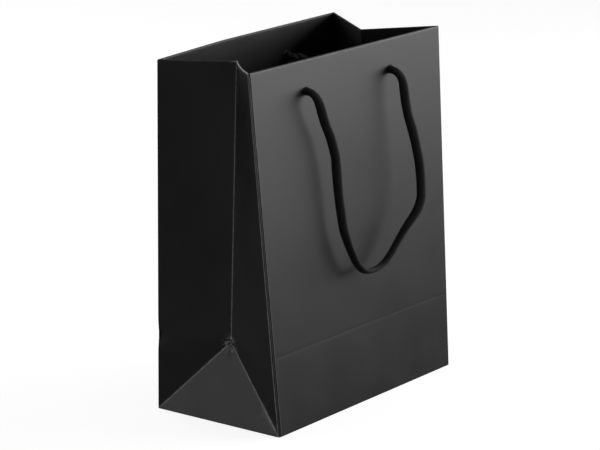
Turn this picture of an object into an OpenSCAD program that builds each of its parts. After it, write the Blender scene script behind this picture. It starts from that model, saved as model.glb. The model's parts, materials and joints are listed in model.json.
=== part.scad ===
// Small gift bag of folded paper with two rope handles.
// The bag stands on the floor: +Z up, front towards -Y, origin at the middle of its base.

/* [Bag] */
// Width of the bag, across the front panel
bag_w = 180; // [150:5:220]
// Depth of the bag at its base, across a gusset
bag_d = 100; // [80:5:120]
// Height of the paper walls, measured along the paper
bag_h = 230; // [200:5:280]
// Thickness of the laminated paper
paper_t = 0.35; // [0.25:0.05:0.5]

/* [Stance] */
// How far the front panel's top left corner leans back
front_lean_left = 18; // [0:1:20]
// How far the front panel's top right corner leans back
front_lean_right = 6; // [0:1:20]
// How far the back panel's top left corner leans forward
back_lean_left = 9; // [0:1:20]
// How far the back panel's top right corner leans forward
back_lean_right = 8; // [0:1:20]
// How far the back panel stands out at the mouth, where it is bent
back_bow = 3.5; // [0:0.5:5]

/* [Gussets] */
// How far the left gusset's centre crease is pushed in at the mouth
crease_push_left = 31; // [20:1:34]
// How far the right gusset's centre crease is pushed in at the mouth
crease_push_right = 28; // [20:1:34]
// How far the point of each foot triangle is pushed in
foot_push = 14; // [6:1:16]
// How far the left gusset's front leaf bows outwards at the mouth
front_leaf_bow = 1.2; // [0:0.1:2]
// How far the left gusset's rear leaf bows outwards at the mouth
rear_leaf_bow = 1.5; // [0:0.1:2]

/* [Mouth] */
// Depth of the paper turned in at the mouth
hem_h = 40; // [30:1:45]
// Thickness of the card in the front and back hems
card_t = 0.5; // [0.4:0.1:0.8]

/* [Seam and base] */
// Width of the glue flap behind the front panel's left edge
seam_w = 18; // [12:1:25]
// Distance from the corner fold to the front panel's cut edge
seam_inset = 2; // [1:0.5:4]
// Length of the front and back bottom flaps
flap_len = 65; // [55:1:75]
// Thickness of the loose board on the bottom
board_t = 1; // [0.8:0.1:1.5]
// Gap round the board at its ends
board_gap = 5; // [4:0.5:8]
// Gap round the board at its front and back
board_side_gap = 3; // [2:0.5:5]

/* [Rope] */
// Diameter of the braided rope
rope_d = 5; // [4:0.5:6]
// Diameter of the punched holes
hole_d = 6; // [5.5:0.5:7]
// Distance between a handle's two holes
hole_spacing = 80; // [70:2:90]
// Distance of the holes below the mouth, along the paper
hole_drop = 20; // [16:1:24]
// Diameter of a knot
knot_d = 12; // [10:0.5:13]
// Length of the rope's tail past its knot
tail_len = 13; // [8:1:16]

/* [Hidden] */

// Glue line between two layers of paper or card
glue_gap = 0.05;
// Depth of the seam flap's outer face behind the front panel's outer face
seam_depth = paper_t + glue_gap;
// Height of the foot triangles, where the gussets' creases meet
foot_h = bag_d / 2;
// Where the point of a foot triangle lies along Y
foot_y = -1;
// Where each gusset's centre crease ends at the mouth: along Y, and its height
crease_y_left = 2.6;
crease_y_right = -2.4;
crease_z = 0.99 * bag_h;
// Heights of the rows of points in the paper, along the paper
lower_rows = [0, foot_h / 2, foot_h];
hem_foot = bag_h - hem_h;
wall_rows = concat(lower_rows, [for (i = [1:4]) foot_h + (hem_foot - foot_h) * i / 4],
    [bag_h - hem_h / 2, bag_h]);
hem_rows = [hem_foot, bag_h - hem_h / 2, bag_h];
// How far hems and stiffeners stop short of the corner folds
hem_inset = 5;
// Steps across a panel
wall_steps = 8;
// Where the back panel is bent, as a share of its width from the left
bend_share = 3 / wall_steps;
// Places of the points across a gusset leaf, as shares of its width
leaf_columns = concat([0], [for (i = [0:4]) lerp(hem_inset / foot_h, 1, i / 4)]);

// The rope's route from a handle's left hole to its right hole: across, out from the
// panel, and up, measured from the middle between the two holes
rope_route = [
    [-40, 0, 0], [-40, 4, 0], [-40, 8, -2], [-40, 11, -6], [-39, 12, -12],
    [-36, 12, -20], [-31, 12, -30], [-28, 13, -42], [-27, 13, -54], [-26, 13, -66],
    [-25, 14, -78], [-24, 15, -90], [-20, 16, -102], [-15, 17, -113], [-10, 18, -119],
    [-4, 18, -121], [4, 18, -121], [11, 18, -119], [18, 18, -114], [25, 18, -107],
    [31, 19, -100], [37, 21, -93], [41, 22, -88], [44, 22, -82], [45, 21, -72],
    [45, 20, -60], [44, 18, -48], [43, 16, -38], [41, 14, -28], [40, 13, -20],
    [40, 12, -12], [40, 11, -6], [40, 8, -2], [40, 4, 0], [40, 0, 0]];
rope_last = len(rope_route) - 1;
// The hole spacing that the route is given for
route_spacing = 80;
// Points of the route that each bend at a hole takes
bend_points = 4;
rope_sides = 12;
// Sides of the holes, of the knots and of the rope beside a knot
hole_sides = 48;
knot_sides = 32;
tail_sides = 24;
// Length of the drill that punches a hole
drill_len = 20;
// Gap between a knot and the hem
knot_gap = 0.2;
// How far a rope's tail turns down from the way out of its hole
tail_turn = 115;
// Radius of the base board's corners
board_corner = 2;
board_corner_sides = 16;

paper_colour = [0.12, 0.12, 0.13];
lining_colour = [0.2, 0.2, 0.21];
card_colour = [0.45, 0.44, 0.42];
rope_colour = [0.07, 0.07, 0.07];

function lerp(a, b, t) = a + (b - a) * t;
function unit(v) = v / norm(v);

// ---- The fold lines. side_x is -1 left, 1 right; side_y is -1 front, 1 back ----

function corner_lean(side_x, side_y) =
    side_y < 0 ? (side_x < 0 ? front_lean_left : front_lean_right)
               : (side_x < 0 ? back_lean_left : back_lean_right);

function corner_foot(side_x, side_y) = [side_x * bag_w / 2, side_y * bag_d / 2, 0];

function corner_top(side_x, side_y) =
    let (lean = corner_lean(side_x, side_y))
    corner_foot(side_x, side_y) + [0, -side_y * lean, sqrt(bag_h * bag_h - lean * lean)];

// A corner fold at height q along the paper
function corner_fold(side_x, side_y, q) =
    lerp(corner_foot(side_x, side_y), corner_top(side_x, side_y), q / bag_h);

function foot_point(side_x) = [side_x * (bag_w / 2 - foot_push), foot_y, foot_h];

function crease_top(side_x) = side_x < 0
    ? [crease_push_left - bag_w / 2, crease_y_left, crease_z]
    : [bag_w / 2 - crease_push_right, crease_y_right, crease_z];

// The fold that ends a gusset leaf: the foot's diagonal, then the centre crease
function inner_fold(side_x, side_y, q) = q < foot_h
    ? lerp(corner_point(side_x, side_y, 0, 0), foot_point(side_x), q / foot_h)
    : lerp(foot_point(side_x), crease_top(side_x), (q - foot_h) / (bag_h - foot_h));

// ---- Normals that point into the bag ----

function wall_normal(side_y, u, q) =
    let (across = corner_fold(1, side_y, q) - corner_fold(-1, side_y, q),
         up = lerp(corner_top(-1, side_y) - corner_foot(-1, side_y),
                   corner_top(1, side_y) - corner_foot(1, side_y), u))
    q == 0 ? [0, -side_y, 0] : side_y * unit(cross(across, up));

function leaf_normal(side_x, side_y, q) =
    let (row = max(q, foot_h),
         across = (row > foot_h
             ? lerp(foot_point(side_x), crease_top(side_x), (row - foot_h) / (bag_h - foot_h))
             : foot_point(side_x)) - corner_fold(side_x, side_y, row),
         up = corner_top(side_x, side_y) - corner_foot(side_x, side_y))
    side_x * side_y * unit(cross(across, up));

function foot_normal(side_x) =
    -side_x * unit(cross(corner_foot(side_x, 1) - corner_foot(side_x, -1),
                         foot_point(side_x) - corner_foot(side_x, -1)));

// The step from a fold to the same fold one unit deeper in the paper
function mitre(a, b) = (a + b) / (1 + a * b);
function mitre3(a, b, c) = let (sum = a + b + c) 3 * sum / (sum * sum);

// ---- Points of the paper at depth d behind its outer face ----

// How far a panel stands out from the straight line between its folds
function wall_bow(side_y, u, q) = side_y < 0 ? 0
    : back_bow * min(u / bend_share, (1 - u) / (1 - bend_share)) * pow(q / bag_h, 2);

function wall_point(side_y, u, q, d) =
    lerp(corner_fold(-1, side_y, q), corner_fold(1, side_y, q), u)
    + wall_normal(side_y, u, q) * (d - wall_bow(side_y, u, q));

// The folded corner; the left front one lies behind the front panel's edge
function corner_point(side_x, side_y, q, d) =
    let (u = side_x < 0 ? 0 : 1, wall = wall_normal(side_y, u, q),
         behind = side_x < 0 && side_y < 0 ? seam_depth : 0,
         fold = corner_fold(side_x, side_y, q) + wall * behind)
    fold + d * (q == 0 ? [-side_x, -side_y, 0] : mitre(wall, leaf_normal(side_x, side_y, q)));

function inner_fold_point(side_x, side_y, q, d) =
    let (fold = inner_fold(side_x, side_y, q), front = leaf_normal(side_x, -1, q),
         rear = leaf_normal(side_x, 1, q), foot = foot_normal(side_x))
    q == 0 ? corner_point(side_x, side_y, 0, d)
    : q < foot_h ? fold + d * mitre(side_y < 0 ? front : rear, foot)
    : q == foot_h ? fold + d * mitre3(front, rear, foot)
    : fold + d * mitre(front, rear);

// A gusset leaf, from its corner fold at s = 0 to its inner fold at s = 1
function leaf_point(side_x, side_y, s, q, d) =
    let (rise = max(0, (q - foot_h) / (bag_h - foot_h)),
         most = side_x > 0 ? 0 : side_y < 0 ? front_leaf_bow : rear_leaf_bow,
         bow = most * sin(180 * s) * rise * rise)
    s == 0 ? corner_point(side_x, side_y, q, d)
    : s == 1 ? inner_fold_point(side_x, side_y, q, d)
    : lerp(corner_point(side_x, side_y, q, 0), inner_fold(side_x, side_y, q), s)
      + leaf_normal(side_x, side_y, q) * (d - bow);

// ---- A sheet between two grids of points; a pinched first row is a single point ----

function skin(rows, cols, pinched) = [
    for (r = [0:rows - 2], c = [0:cols - 2])
        let (a = r * cols + c, b = a + 1, d = a + cols, e = d + 1)
        each (pinched && r == 0) ? [[0, e, d]] : [[a, b, e], [a, e, d]]];

function rim(rows, cols, pinched) = concat(
    pinched ? [0] : [for (c = [0:cols - 1]) c],
    [for (r = [1:rows - 1]) r * cols + cols - 1],
    [for (c = [cols - 2:-1:0]) (rows - 1) * cols + c],
    [for (r = [rows - 2:-1:1]) r * cols]);

function height(grid, i) = let (cols = len(grid[0])) grid[floor(i / cols)][i % cols][2];

function turned(face) = [for (i = [len(face) - 1:-1:0]) face[i]];

module sheet(outer, inner, pinched = false) {
    rows = len(outer);
    cols = len(outer[0]);
    count = rows * cols;
    top = rows - 1;
    facing = cross(outer[top - 1][1] - outer[top - 1][0], outer[top][1] - outer[top - 1][0])
        * (inner[top][1] - outer[top][1]);
    outer_skin = skin(rows, cols, pinched);
    edge = rim(rows, cols, pinched);
    // Each face of the rim is split from its lower outer corner, so that it also fits the
    // neighbouring sheet's rim
    faces = concat(outer_skin,
        [for (face = outer_skin) turned(face) + [count, count, count]],
        [for (i = [0:len(edge) - 1])
            let (a = edge[i], b = edge[(i + 1) % len(edge)],
                 rising = height(outer, a) < height(outer, b))
            each rising ? [[b, a, b + count], [a, a + count, b + count]]
                        : [[b, a, a + count], [b, a + count, b + count]]]);
    polyhedron(points = concat([for (row = outer) each row], [for (row = inner) each row]),
        faces = facing > 0 ? faces : [for (face = faces) turned(face)], convexity = 4);
}

// ---- The paper ----

// A layer of a panel between two depths, from u0 to u1 across and over the given rows;
// at u = 0 and u = 1 a folded layer ends in the corner's mitre
module wall_layer(side_y, u0, u1, rows, near, far, folded_left = false, folded_right = false) {
    function grid(d) = [for (q = rows) [for (i = [0:wall_steps])
        i == 0 && folded_left ? corner_point(-1, side_y, q, d - near)
        : i == wall_steps && folded_right ? corner_point(1, side_y, q, d - near)
        : wall_point(side_y, lerp(u0, u1, i / wall_steps), q, d)]];
    sheet(grid(near), grid(far));
}

module front_panel() {
    color(paper_colour) difference() {
        wall_layer(-1, seam_inset / bag_w, 1, wall_rows, 0, paper_t, folded_right = true);
        rope_holes(-1);
    }
}

module back_panel() {
    color(paper_colour) difference() {
        wall_layer(1, 0, 1, wall_rows, 0, paper_t, folded_left = true, folded_right = true);
        rope_holes(1);
    }
}

module gusset_leaf(side_x, side_y) {
    function grid(d) = [for (q = wall_rows)
        [for (s = leaf_columns) leaf_point(side_x, side_y, s, q, d)]];
    color(paper_colour) sheet(grid(0), grid(paper_t), pinched = true);
}

module foot_triangle(side_x) {
    function grid(d) = [for (i = [len(lower_rows) - 1:-1:0])
        let (front = inner_fold_point(side_x, -1, lower_rows[i], d),
             rear = inner_fold_point(side_x, 1, lower_rows[i], d))
        [for (s = [0, 0.5, 1]) lerp(front, rear, s)]];
    color(paper_colour) sheet(grid(0), grid(paper_t), pinched = true);
}

// The glue flap joins the left gusset and lies behind the front panel's cut edge
module side_seam_flap() {
    color(lining_colour) wall_layer(-1, 0, seam_w / bag_w, wall_rows,
        seam_depth, seam_depth + paper_t, folded_left = true);
}

// ---- The mouth: card and turned-in paper behind each panel ----

// The front card also clears the seam flap
function card_depth(side_y) = side_y < 0 ? seam_depth * 2 : seam_depth;
function hem_depth(side_y) = card_depth(side_y) + card_t + glue_gap;
function inside_depth(side_y) = hem_depth(side_y) + paper_t;

module mouth_layer(side_y, near, thickness) {
    difference() {
        wall_layer(side_y, hem_inset / bag_w, 1 - hem_inset / bag_w, hem_rows,
            near, near + thickness);
        rope_holes(side_y);
    }
}

module gusset_hem(side_x, side_y) {
    function grid(d) = [for (q = hem_rows) [for (i = [1:len(leaf_columns) - 1])
        leaf_point(side_x, side_y, leaf_columns[i], q, d)]];
    color(lining_colour) sheet(grid(seam_depth), grid(seam_depth + paper_t));
}

// ---- The base ----

// Half the width and half the depth that the bottom flaps fill between the walls
flap_half_w = bag_w / 2 - 2 * seam_depth;
flap_half_d = bag_d / 2 - 2 * seam_depth - glue_gap;

// A bottom flap with 45 degree ends; level counts the layers up from the floor
module bottom_flap(level, length) {
    side = flap_half_w;
    front = flap_half_d;
    color(paper_colour) translate([0, 0, level * seam_depth]) linear_extrude(paper_t)
        polygon([[-side, -front], [side, -front], [side - length, length - front],
            [length - side, length - front]]);
}

module gusset_bottom_flap(side_x) {
    side = side_x * flap_half_w;
    color(paper_colour) translate([0, 0, 2 * seam_depth]) linear_extrude(paper_t)
        polygon([[side, -flap_half_d], [side, flap_half_d], [side - side_x * flap_half_d, 0]]);
}

module base_board() {
    color(card_colour) translate([0, 0, 3 * seam_depth + glue_gap]) linear_extrude(board_t)
        offset(r = board_corner, $fn = board_corner_sides) offset(delta = -board_corner)
            square([bag_w - 2 * board_gap, bag_d - 2 * board_side_gap], center = true);
}

// ---- The rope handles ----

function hole_point(side_x, side_y) =
    wall_point(side_y, 0.5 + side_x * hole_spacing / 2 / bag_w, bag_h - hole_drop, 0);
function handle_middle(side_y) = (hole_point(-1, side_y) + hole_point(1, side_y)) / 2;
function handle_turn(side_y) =
    let (line = hole_point(1, side_y) - hole_point(-1, side_y))
    atan2(line[1], line[0]) + (side_y < 0 ? 0 : 180);

// A handle's own frame: X along its holes, -Y out of the bag
module at_handle(side_y) {
    translate(handle_middle(side_y)) rotate([0, 0, handle_turn(side_y)]) children();
}

module rope_holes(side_y) {
    at_handle(side_y) for (side = [-1, 1])
        translate([side * hole_spacing / 2, 0, 0]) rotate([90, 0, 0])
            cylinder(h = drill_len, d = hole_d, center = true, $fn = hole_sides);
}

function rope_point(i) = let (p = rope_route[i]) 
    [p[0] * hole_spacing / route_spacing, -p[1], p[2]];
function rope_heading(i) =
    unit(rope_point(min(i + 1, rope_last)) - rope_point(max(i - 1, 0)));

// The round section of the rope at one point of its route; the route never runs along
// the slanting line that its sides are set out from
function rope_ring(i) =
    let (ahead = rope_heading(i), side = unit(cross(ahead, [1, -1, 0])),
         over = cross(side, ahead))
    [for (k = [0:rope_sides - 1]) rope_point(i)
        + (side * cos(360 * k / rope_sides) + over * sin(360 * k / rope_sides)) * rope_d / 2];

module rope_run(first, last) {
    rings = last - first + 1;
    walls = [for (r = [0:rings - 2], k = [0:rope_sides - 1])
        let (a = r * rope_sides + k, b = r * rope_sides + (k + 1) % rope_sides)
        each [[a, b, b + rope_sides], [a, b + rope_sides, a + rope_sides]]];
    start = [[for (k = [rope_sides - 1:-1:0]) k]];
    end = [[for (k = [0:rope_sides - 1]) (rings - 1) * rope_sides + k]];
    polyhedron(points = [for (i = [first:last]) each rope_ring(i)],
        faces = concat(walls, start, end), convexity = 6);
}

module rope_bend(side_x, side_y) {
    left = side_x * -side_y < 0;
    color(rope_colour) at_handle(side_y)
        rope_run(left ? 0 : rope_last - bend_points, left ? bend_points : rope_last);
}

module rope_loop(side_y) {
    color(rope_colour) at_handle(side_y) rope_run(bend_points, rope_last - bend_points);
}

// A knot behind the hem, its tail, and the rope through the hole
module knot(side_x, side_y) {
    middle = inside_depth(side_y) + knot_d / 2 + knot_gap;
    color(rope_colour) at_handle(side_y)
        translate([side_x * -side_y * hole_spacing / 2, 0, 0]) {
            rotate([-90, 0, 0]) cylinder(h = middle, d = rope_d, $fn = tail_sides);
            translate([0, middle, 0]) sphere(d = knot_d, $fn = knot_sides);
            translate([0, middle, 0]) rotate([-tail_turn, 0, 0])
                cylinder(h = knot_d / 2 + tail_len, d = rope_d, $fn = tail_sides);
        }
}

front_panel();
back_panel();
gusset_leaf(-1, -1);  // left_gusset_front_leaf
gusset_leaf(-1, 1);  // left_gusset_rear_leaf
foot_triangle(-1);  // left_foot_triangle
gusset_leaf(1, -1);  // right_gusset_front_leaf
gusset_leaf(1, 1);  // right_gusset_rear_leaf
foot_triangle(1);  // right_foot_triangle
side_seam_flap();
color(lining_colour) mouth_layer(-1, hem_depth(-1), paper_t);  // front_hem
color(lining_colour) mouth_layer(1, hem_depth(1), paper_t);  // back_hem
gusset_hem(-1, -1);  // left_gusset_front_hem
gusset_hem(-1, 1);  // left_gusset_rear_hem
gusset_hem(1, -1);  // right_gusset_front_hem
gusset_hem(1, 1);  // right_gusset_rear_hem
color(card_colour) mouth_layer(-1, card_depth(-1), card_t);  // front_stiffener
color(card_colour) mouth_layer(1, card_depth(1), card_t);  // back_stiffener
bottom_flap(0, flap_len);  // front_bottom_flap
rotate([0, 0, 180]) bottom_flap(1, flap_len);  // back_bottom_flap
gusset_bottom_flap(-1);  // left_bottom_flap
gusset_bottom_flap(1);  // right_bottom_flap
base_board();
knot(-1, -1);  // front_knot_left
knot(1, -1);  // front_knot_right
knot(-1, 1);  // back_knot_left
knot(1, 1);  // back_knot_right
rope_bend(-1, -1);  // front_rope_bend_left
rope_bend(1, -1);  // front_rope_bend_right
rope_bend(-1, 1);  // back_rope_bend_left
rope_bend(1, 1);  // back_rope_bend_right
rope_loop(-1);  // front_rope_loop
rope_loop(1);  // back_rope_loop
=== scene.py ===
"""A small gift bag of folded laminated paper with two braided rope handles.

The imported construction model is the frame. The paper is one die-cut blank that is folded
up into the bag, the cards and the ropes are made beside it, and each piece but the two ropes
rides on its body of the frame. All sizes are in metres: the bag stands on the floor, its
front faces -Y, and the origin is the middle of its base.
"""
import json
import logging
import math
from collections.abc import Callable, Sequence
from dataclasses import dataclass, field
from enum import Enum, IntEnum

import bmesh
import bpy
import numpy as np
from mathutils import Matrix, Vector, noise

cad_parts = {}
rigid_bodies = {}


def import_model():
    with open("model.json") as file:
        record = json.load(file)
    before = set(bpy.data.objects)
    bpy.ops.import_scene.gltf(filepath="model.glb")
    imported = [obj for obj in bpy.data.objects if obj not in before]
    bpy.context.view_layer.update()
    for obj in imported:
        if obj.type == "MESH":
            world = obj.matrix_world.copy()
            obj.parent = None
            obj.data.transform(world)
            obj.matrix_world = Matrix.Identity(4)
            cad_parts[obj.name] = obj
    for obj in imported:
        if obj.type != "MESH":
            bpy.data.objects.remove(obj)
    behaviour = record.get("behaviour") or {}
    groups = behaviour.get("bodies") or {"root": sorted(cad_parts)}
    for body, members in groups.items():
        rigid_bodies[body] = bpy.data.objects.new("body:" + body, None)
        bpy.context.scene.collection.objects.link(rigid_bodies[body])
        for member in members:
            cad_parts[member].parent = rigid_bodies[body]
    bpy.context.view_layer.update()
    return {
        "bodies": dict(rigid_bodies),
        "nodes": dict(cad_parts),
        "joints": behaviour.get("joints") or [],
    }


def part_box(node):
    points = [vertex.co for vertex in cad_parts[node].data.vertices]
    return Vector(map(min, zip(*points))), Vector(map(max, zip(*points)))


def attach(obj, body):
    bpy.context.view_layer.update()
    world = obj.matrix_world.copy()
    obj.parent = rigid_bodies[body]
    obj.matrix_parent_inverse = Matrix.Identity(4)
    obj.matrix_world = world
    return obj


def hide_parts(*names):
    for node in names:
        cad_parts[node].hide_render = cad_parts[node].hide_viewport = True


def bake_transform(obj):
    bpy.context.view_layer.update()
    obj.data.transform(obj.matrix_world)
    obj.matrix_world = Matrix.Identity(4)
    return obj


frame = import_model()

LOG = logging.getLogger("gift_bag")
MM = 0.001
ROUNDING = 1e-9
SLACK = 1e-6

Colour = tuple[float, float, float]


class SideX(IntEnum):
    """The left and right of the bag, seen from its front."""

    LEFT = -1
    RIGHT = 1


class SideY(IntEnum):
    """The front and back of the bag."""

    FRONT = -1
    BACK = 1


class Slot(Enum):
    """The record's material slots."""

    PAPER = "paper"
    CARD = "card"
    ROPE = "rope"


class Body(Enum):
    """The bodies that the pieces ride on."""

    BAG = "bag"
    FRONT_HANDLE = "front_handle"
    BACK_HANDLE = "back_handle"
    BASE_BOARD = "base_board"


# ---- Modelling helpers ----


def deselect_all() -> None:
    """Leave edit mode and select nothing."""
    if bpy.context.object and bpy.context.object.mode != "OBJECT":
        bpy.ops.object.mode_set(mode="OBJECT")
    bpy.ops.object.select_all(action="DESELECT")


def make_active(piece: bpy.types.Object) -> None:
    """Select one object alone and make it the active one."""
    deselect_all()
    piece.select_set(True)
    bpy.context.view_layer.objects.active = piece


def apply_modifier(piece: bpy.types.Object, kind: str, **settings: object) -> None:
    """Add a modifier to a piece and apply it.

    Args:
        piece: The object to change.
        kind: The modifier's type, such as "SOLIDIFY".
        **settings: The modifier's own settings.
    """
    make_active(piece)
    modifier = piece.modifiers.new(kind.title(), kind)
    for name, value in settings.items():
        setattr(modifier, name, value)
    bpy.ops.object.modifier_apply(modifier=modifier.name)


def smooth(piece: bpy.types.Object, degrees: float = 35.0) -> None:
    """Shade a piece smooth, but for edges sharper than an angle."""
    make_active(piece)
    bpy.ops.object.shade_smooth_by_angle(angle=math.radians(degrees))


def vertex_places(piece: bpy.types.Object) -> np.ndarray:
    """Read a piece's vertices as an array of points."""
    places = np.empty(len(piece.data.vertices) * 3)
    piece.data.vertices.foreach_get("co", places)
    return places.reshape(-1, 3)


def place_vertices(piece: bpy.types.Object, places: np.ndarray) -> None:
    """Move a piece's vertices to the given points."""
    piece.data.vertices.foreach_set("co", np.asarray(places, float).ravel())
    piece.data.update()


def add_grid(name: str, columns: Sequence[float], rows: Sequence[float]) -> bpy.types.Object:
    """Add a flat grid whose lines lie at the given places.

    Args:
        name: The new object's name.
        columns: Places of the grid's lines along X, in order.
        rows: Places of the grid's lines along Y, in order.

    Returns:
        The grid's object, in the XY plane.
    """
    deselect_all()
    bpy.ops.mesh.primitive_grid_add(
        x_subdivisions=len(columns) - 1, y_subdivisions=len(rows) - 1, size=1
    )
    grid = bpy.context.object
    grid.name = name
    across, along = np.meshgrid(np.asarray(columns), np.asarray(rows))
    place_vertices(grid, np.column_stack([across.ravel(), along.ravel(), 0 * along.ravel()]))
    return grid


def write_uv(piece: bpy.types.Object, flat: np.ndarray) -> None:
    """Give a piece a UV map from a flat place for each of its vertices.

    Args:
        piece: The object to change.
        flat: A flat place for each vertex, in metres.
    """
    layer = piece.data.uv_layers.get("UVMap") or piece.data.uv_layers.new(name="UVMap")
    corners = np.empty(len(piece.data.loops), int)
    piece.data.loops.foreach_get("vertex_index", corners)
    layer.data.foreach_set("uv", flat[corners].ravel())


def write_attribute(piece: bpy.types.Object, name: str, values: np.ndarray) -> None:
    """Give each vertex of a piece a number that its material reads."""
    layer = piece.data.attributes.new(name=name, type="FLOAT", domain="POINT")
    layer.data.foreach_set("value", np.asarray(values, np.float32))


def select_faces(piece: bpy.types.Object, wanted: Callable[[Vector], bool]) -> int:
    """Select, in edit mode, the faces whose middles are wanted, and nothing else.

    Args:
        piece: The object, which is in edit mode.
        wanted: Says of a face's middle whether the face is selected.

    Returns:
        How many faces were selected.
    """
    bpy.ops.mesh.select_mode(type="FACE")
    bpy.ops.mesh.select_all(action="DESELECT")
    mesh = bmesh.from_edit_mesh(piece.data)
    count = 0
    for face in mesh.faces:
        if wanted(face.calc_center_median()):
            face.select_set(True)
            count += 1
    bmesh.update_edit_mesh(piece.data)
    return count


def dress(piece: bpy.types.Object, *materials: bpy.types.Material) -> None:
    """Give a piece its materials, in the order of its material slots."""
    piece.data.materials.clear()
    for material in materials:
        piece.data.materials.append(material)


def even_steps(start: float, end: float, step: float) -> list[float]:
    """Divide a stretch evenly, in steps no longer than one given."""
    count = max(1, math.ceil((end - start) / step - ROUNDING))
    return [start + (end - start) * i / count for i in range(count + 1)]


def grid_lines(fixed: Sequence[float], step: float) -> list[float]:
    """Fill the gaps between fixed lines of a grid with even steps.

    Args:
        fixed: Places that must have a line.
        step: The widest gap allowed.

    Returns:
        All the lines' places, in order.
    """
    lines: list[float] = []
    ordered = sorted(fixed)
    for start, end in zip(ordered, ordered[1:]):
        lines += even_steps(start, end, step)[:-1]
    return lines + [ordered[-1]]


# ---- Finishes ----


class NodeBoard:
    """A material's nodes, laid out and linked by short calls."""

    # Places of the colour sockets of a Mix node
    MIX_A = 6
    MIX_B = 7
    MIX_RESULT = 2

    def __init__(self, name: str) -> None:
        """Start a material with one Principled shader.

        Args:
            name: The material's name.
        """
        self.material = bpy.data.materials.new(name)
        self.material.use_nodes = True
        self.nodes = self.material.node_tree.nodes
        self.links = self.material.node_tree.links
        self.shader = self.nodes["Principled BSDF"]
        self.output = self.nodes["Material Output"]

    def add(self, kind: str, **settings: object) -> bpy.types.Node:
        """Add a node and set its properties, or its inputs where a name is one.

        Args:
            kind: The node's type.
            **settings: Its properties and input values.

        Returns:
            The node.
        """
        node = self.nodes.new(kind)
        for name, value in settings.items():
            if hasattr(node, name):
                setattr(node, name, value)
            else:
                node.inputs[name].default_value = value
        return node

    def link(self, source: bpy.types.NodeSocket, target: bpy.types.NodeSocket) -> None:
        """Link an output socket to an input socket."""
        self.links.new(source, target)

    def noise(self, place: bpy.types.NodeSocket, scale: float, detail: float = 2.0,
              roughness: float = 0.5) -> bpy.types.NodeSocket:
        """Add a noise texture and return its grey output.

        Args:
            place: The coordinates that it reads.
            scale: How many features fit in a metre.
            detail: Its octaves.
            roughness: How strong the fine octaves are.

        Returns:
            The texture's factor.
        """
        node = self.add("ShaderNodeTexNoise", Scale=scale, Detail=detail, Roughness=roughness)
        self.link(place, node.inputs["Vector"])
        return node.outputs[0]

    def ramp(self, value: bpy.types.NodeSocket, low: float, high: float,
             to_low: float, to_high: float) -> bpy.types.NodeSocket:
        """Map a value from one range to another, clamped.

        Args:
            value: What is mapped.
            low: The start of its range.
            high: The end of its range.
            to_low: What the start becomes.
            to_high: What the end becomes.

        Returns:
            The mapped value.
        """
        node = self.add("ShaderNodeMapRange")
        for index, number in enumerate((low, high, to_low, to_high), start=1):
            node.inputs[index].default_value = number
        self.link(value, node.inputs[0])
        return node.outputs[0]

    def math(self, operation: str, a: bpy.types.NodeSocket,
             b: bpy.types.NodeSocket | float) -> bpy.types.NodeSocket:
        """Combine a socket with another socket or a number.

        Args:
            operation: The node's operation.
            a: The first value.
            b: The second value.

        Returns:
            The result.
        """
        node = self.add("ShaderNodeMath", operation=operation)
        self.link(a, node.inputs[0])
        if isinstance(b, (int, float)):
            node.inputs[1].default_value = b
        else:
            self.link(b, node.inputs[1])
        return node.outputs[0]

    def mix(self, factor: bpy.types.NodeSocket, a: Colour | bpy.types.NodeSocket,
            b: Colour | bpy.types.NodeSocket) -> bpy.types.NodeSocket:
        """Mix two colours by a factor.

        Args:
            factor: The share of the second colour.
            a: The first colour.
            b: The second colour.

        Returns:
            The mixed colour.
        """
        node = self.add("ShaderNodeMix", data_type="RGBA")
        self.link(factor, node.inputs["Factor"])
        for socket, colour in ((node.inputs[self.MIX_A], a), (node.inputs[self.MIX_B], b)):
            if isinstance(colour, tuple):
                socket.default_value = (*colour, 1.0)
            else:
                self.link(colour, socket)
        return node.outputs[self.MIX_RESULT]

    def bump(self, height: bpy.types.NodeSocket, distance: float, strength: float) -> None:
        """Turn a height into the shader's bump, the distance being in metres."""
        node = self.add("ShaderNodeBump", Strength=strength, Distance=distance)
        self.link(height, node.inputs["Height"])
        self.link(node.outputs["Normal"], self.shader.inputs["Normal"])

    def set(self, **inputs: object) -> None:
        """Set the shader's own sockets; underscores stand for spaces.

        Args:
            **inputs: Values by socket name.
        """
        for name, value in inputs.items():
            socket = self.shader.inputs[name.replace("_", " ")]
            if isinstance(value, tuple):
                value = (*value, 1.0)
            socket.default_value = value

    def uv(self) -> bpy.types.NodeSocket:
        """Read the piece's own flat coordinates, in metres."""
        return self.add("ShaderNodeUVMap", uv_map="UVMap").outputs["UV"]

    def attribute(self, name: str) -> bpy.types.NodeSocket:
        """Read one of the piece's own numbers."""
        return self.add("ShaderNodeAttribute", attribute_name=name).outputs["Fac"]


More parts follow.
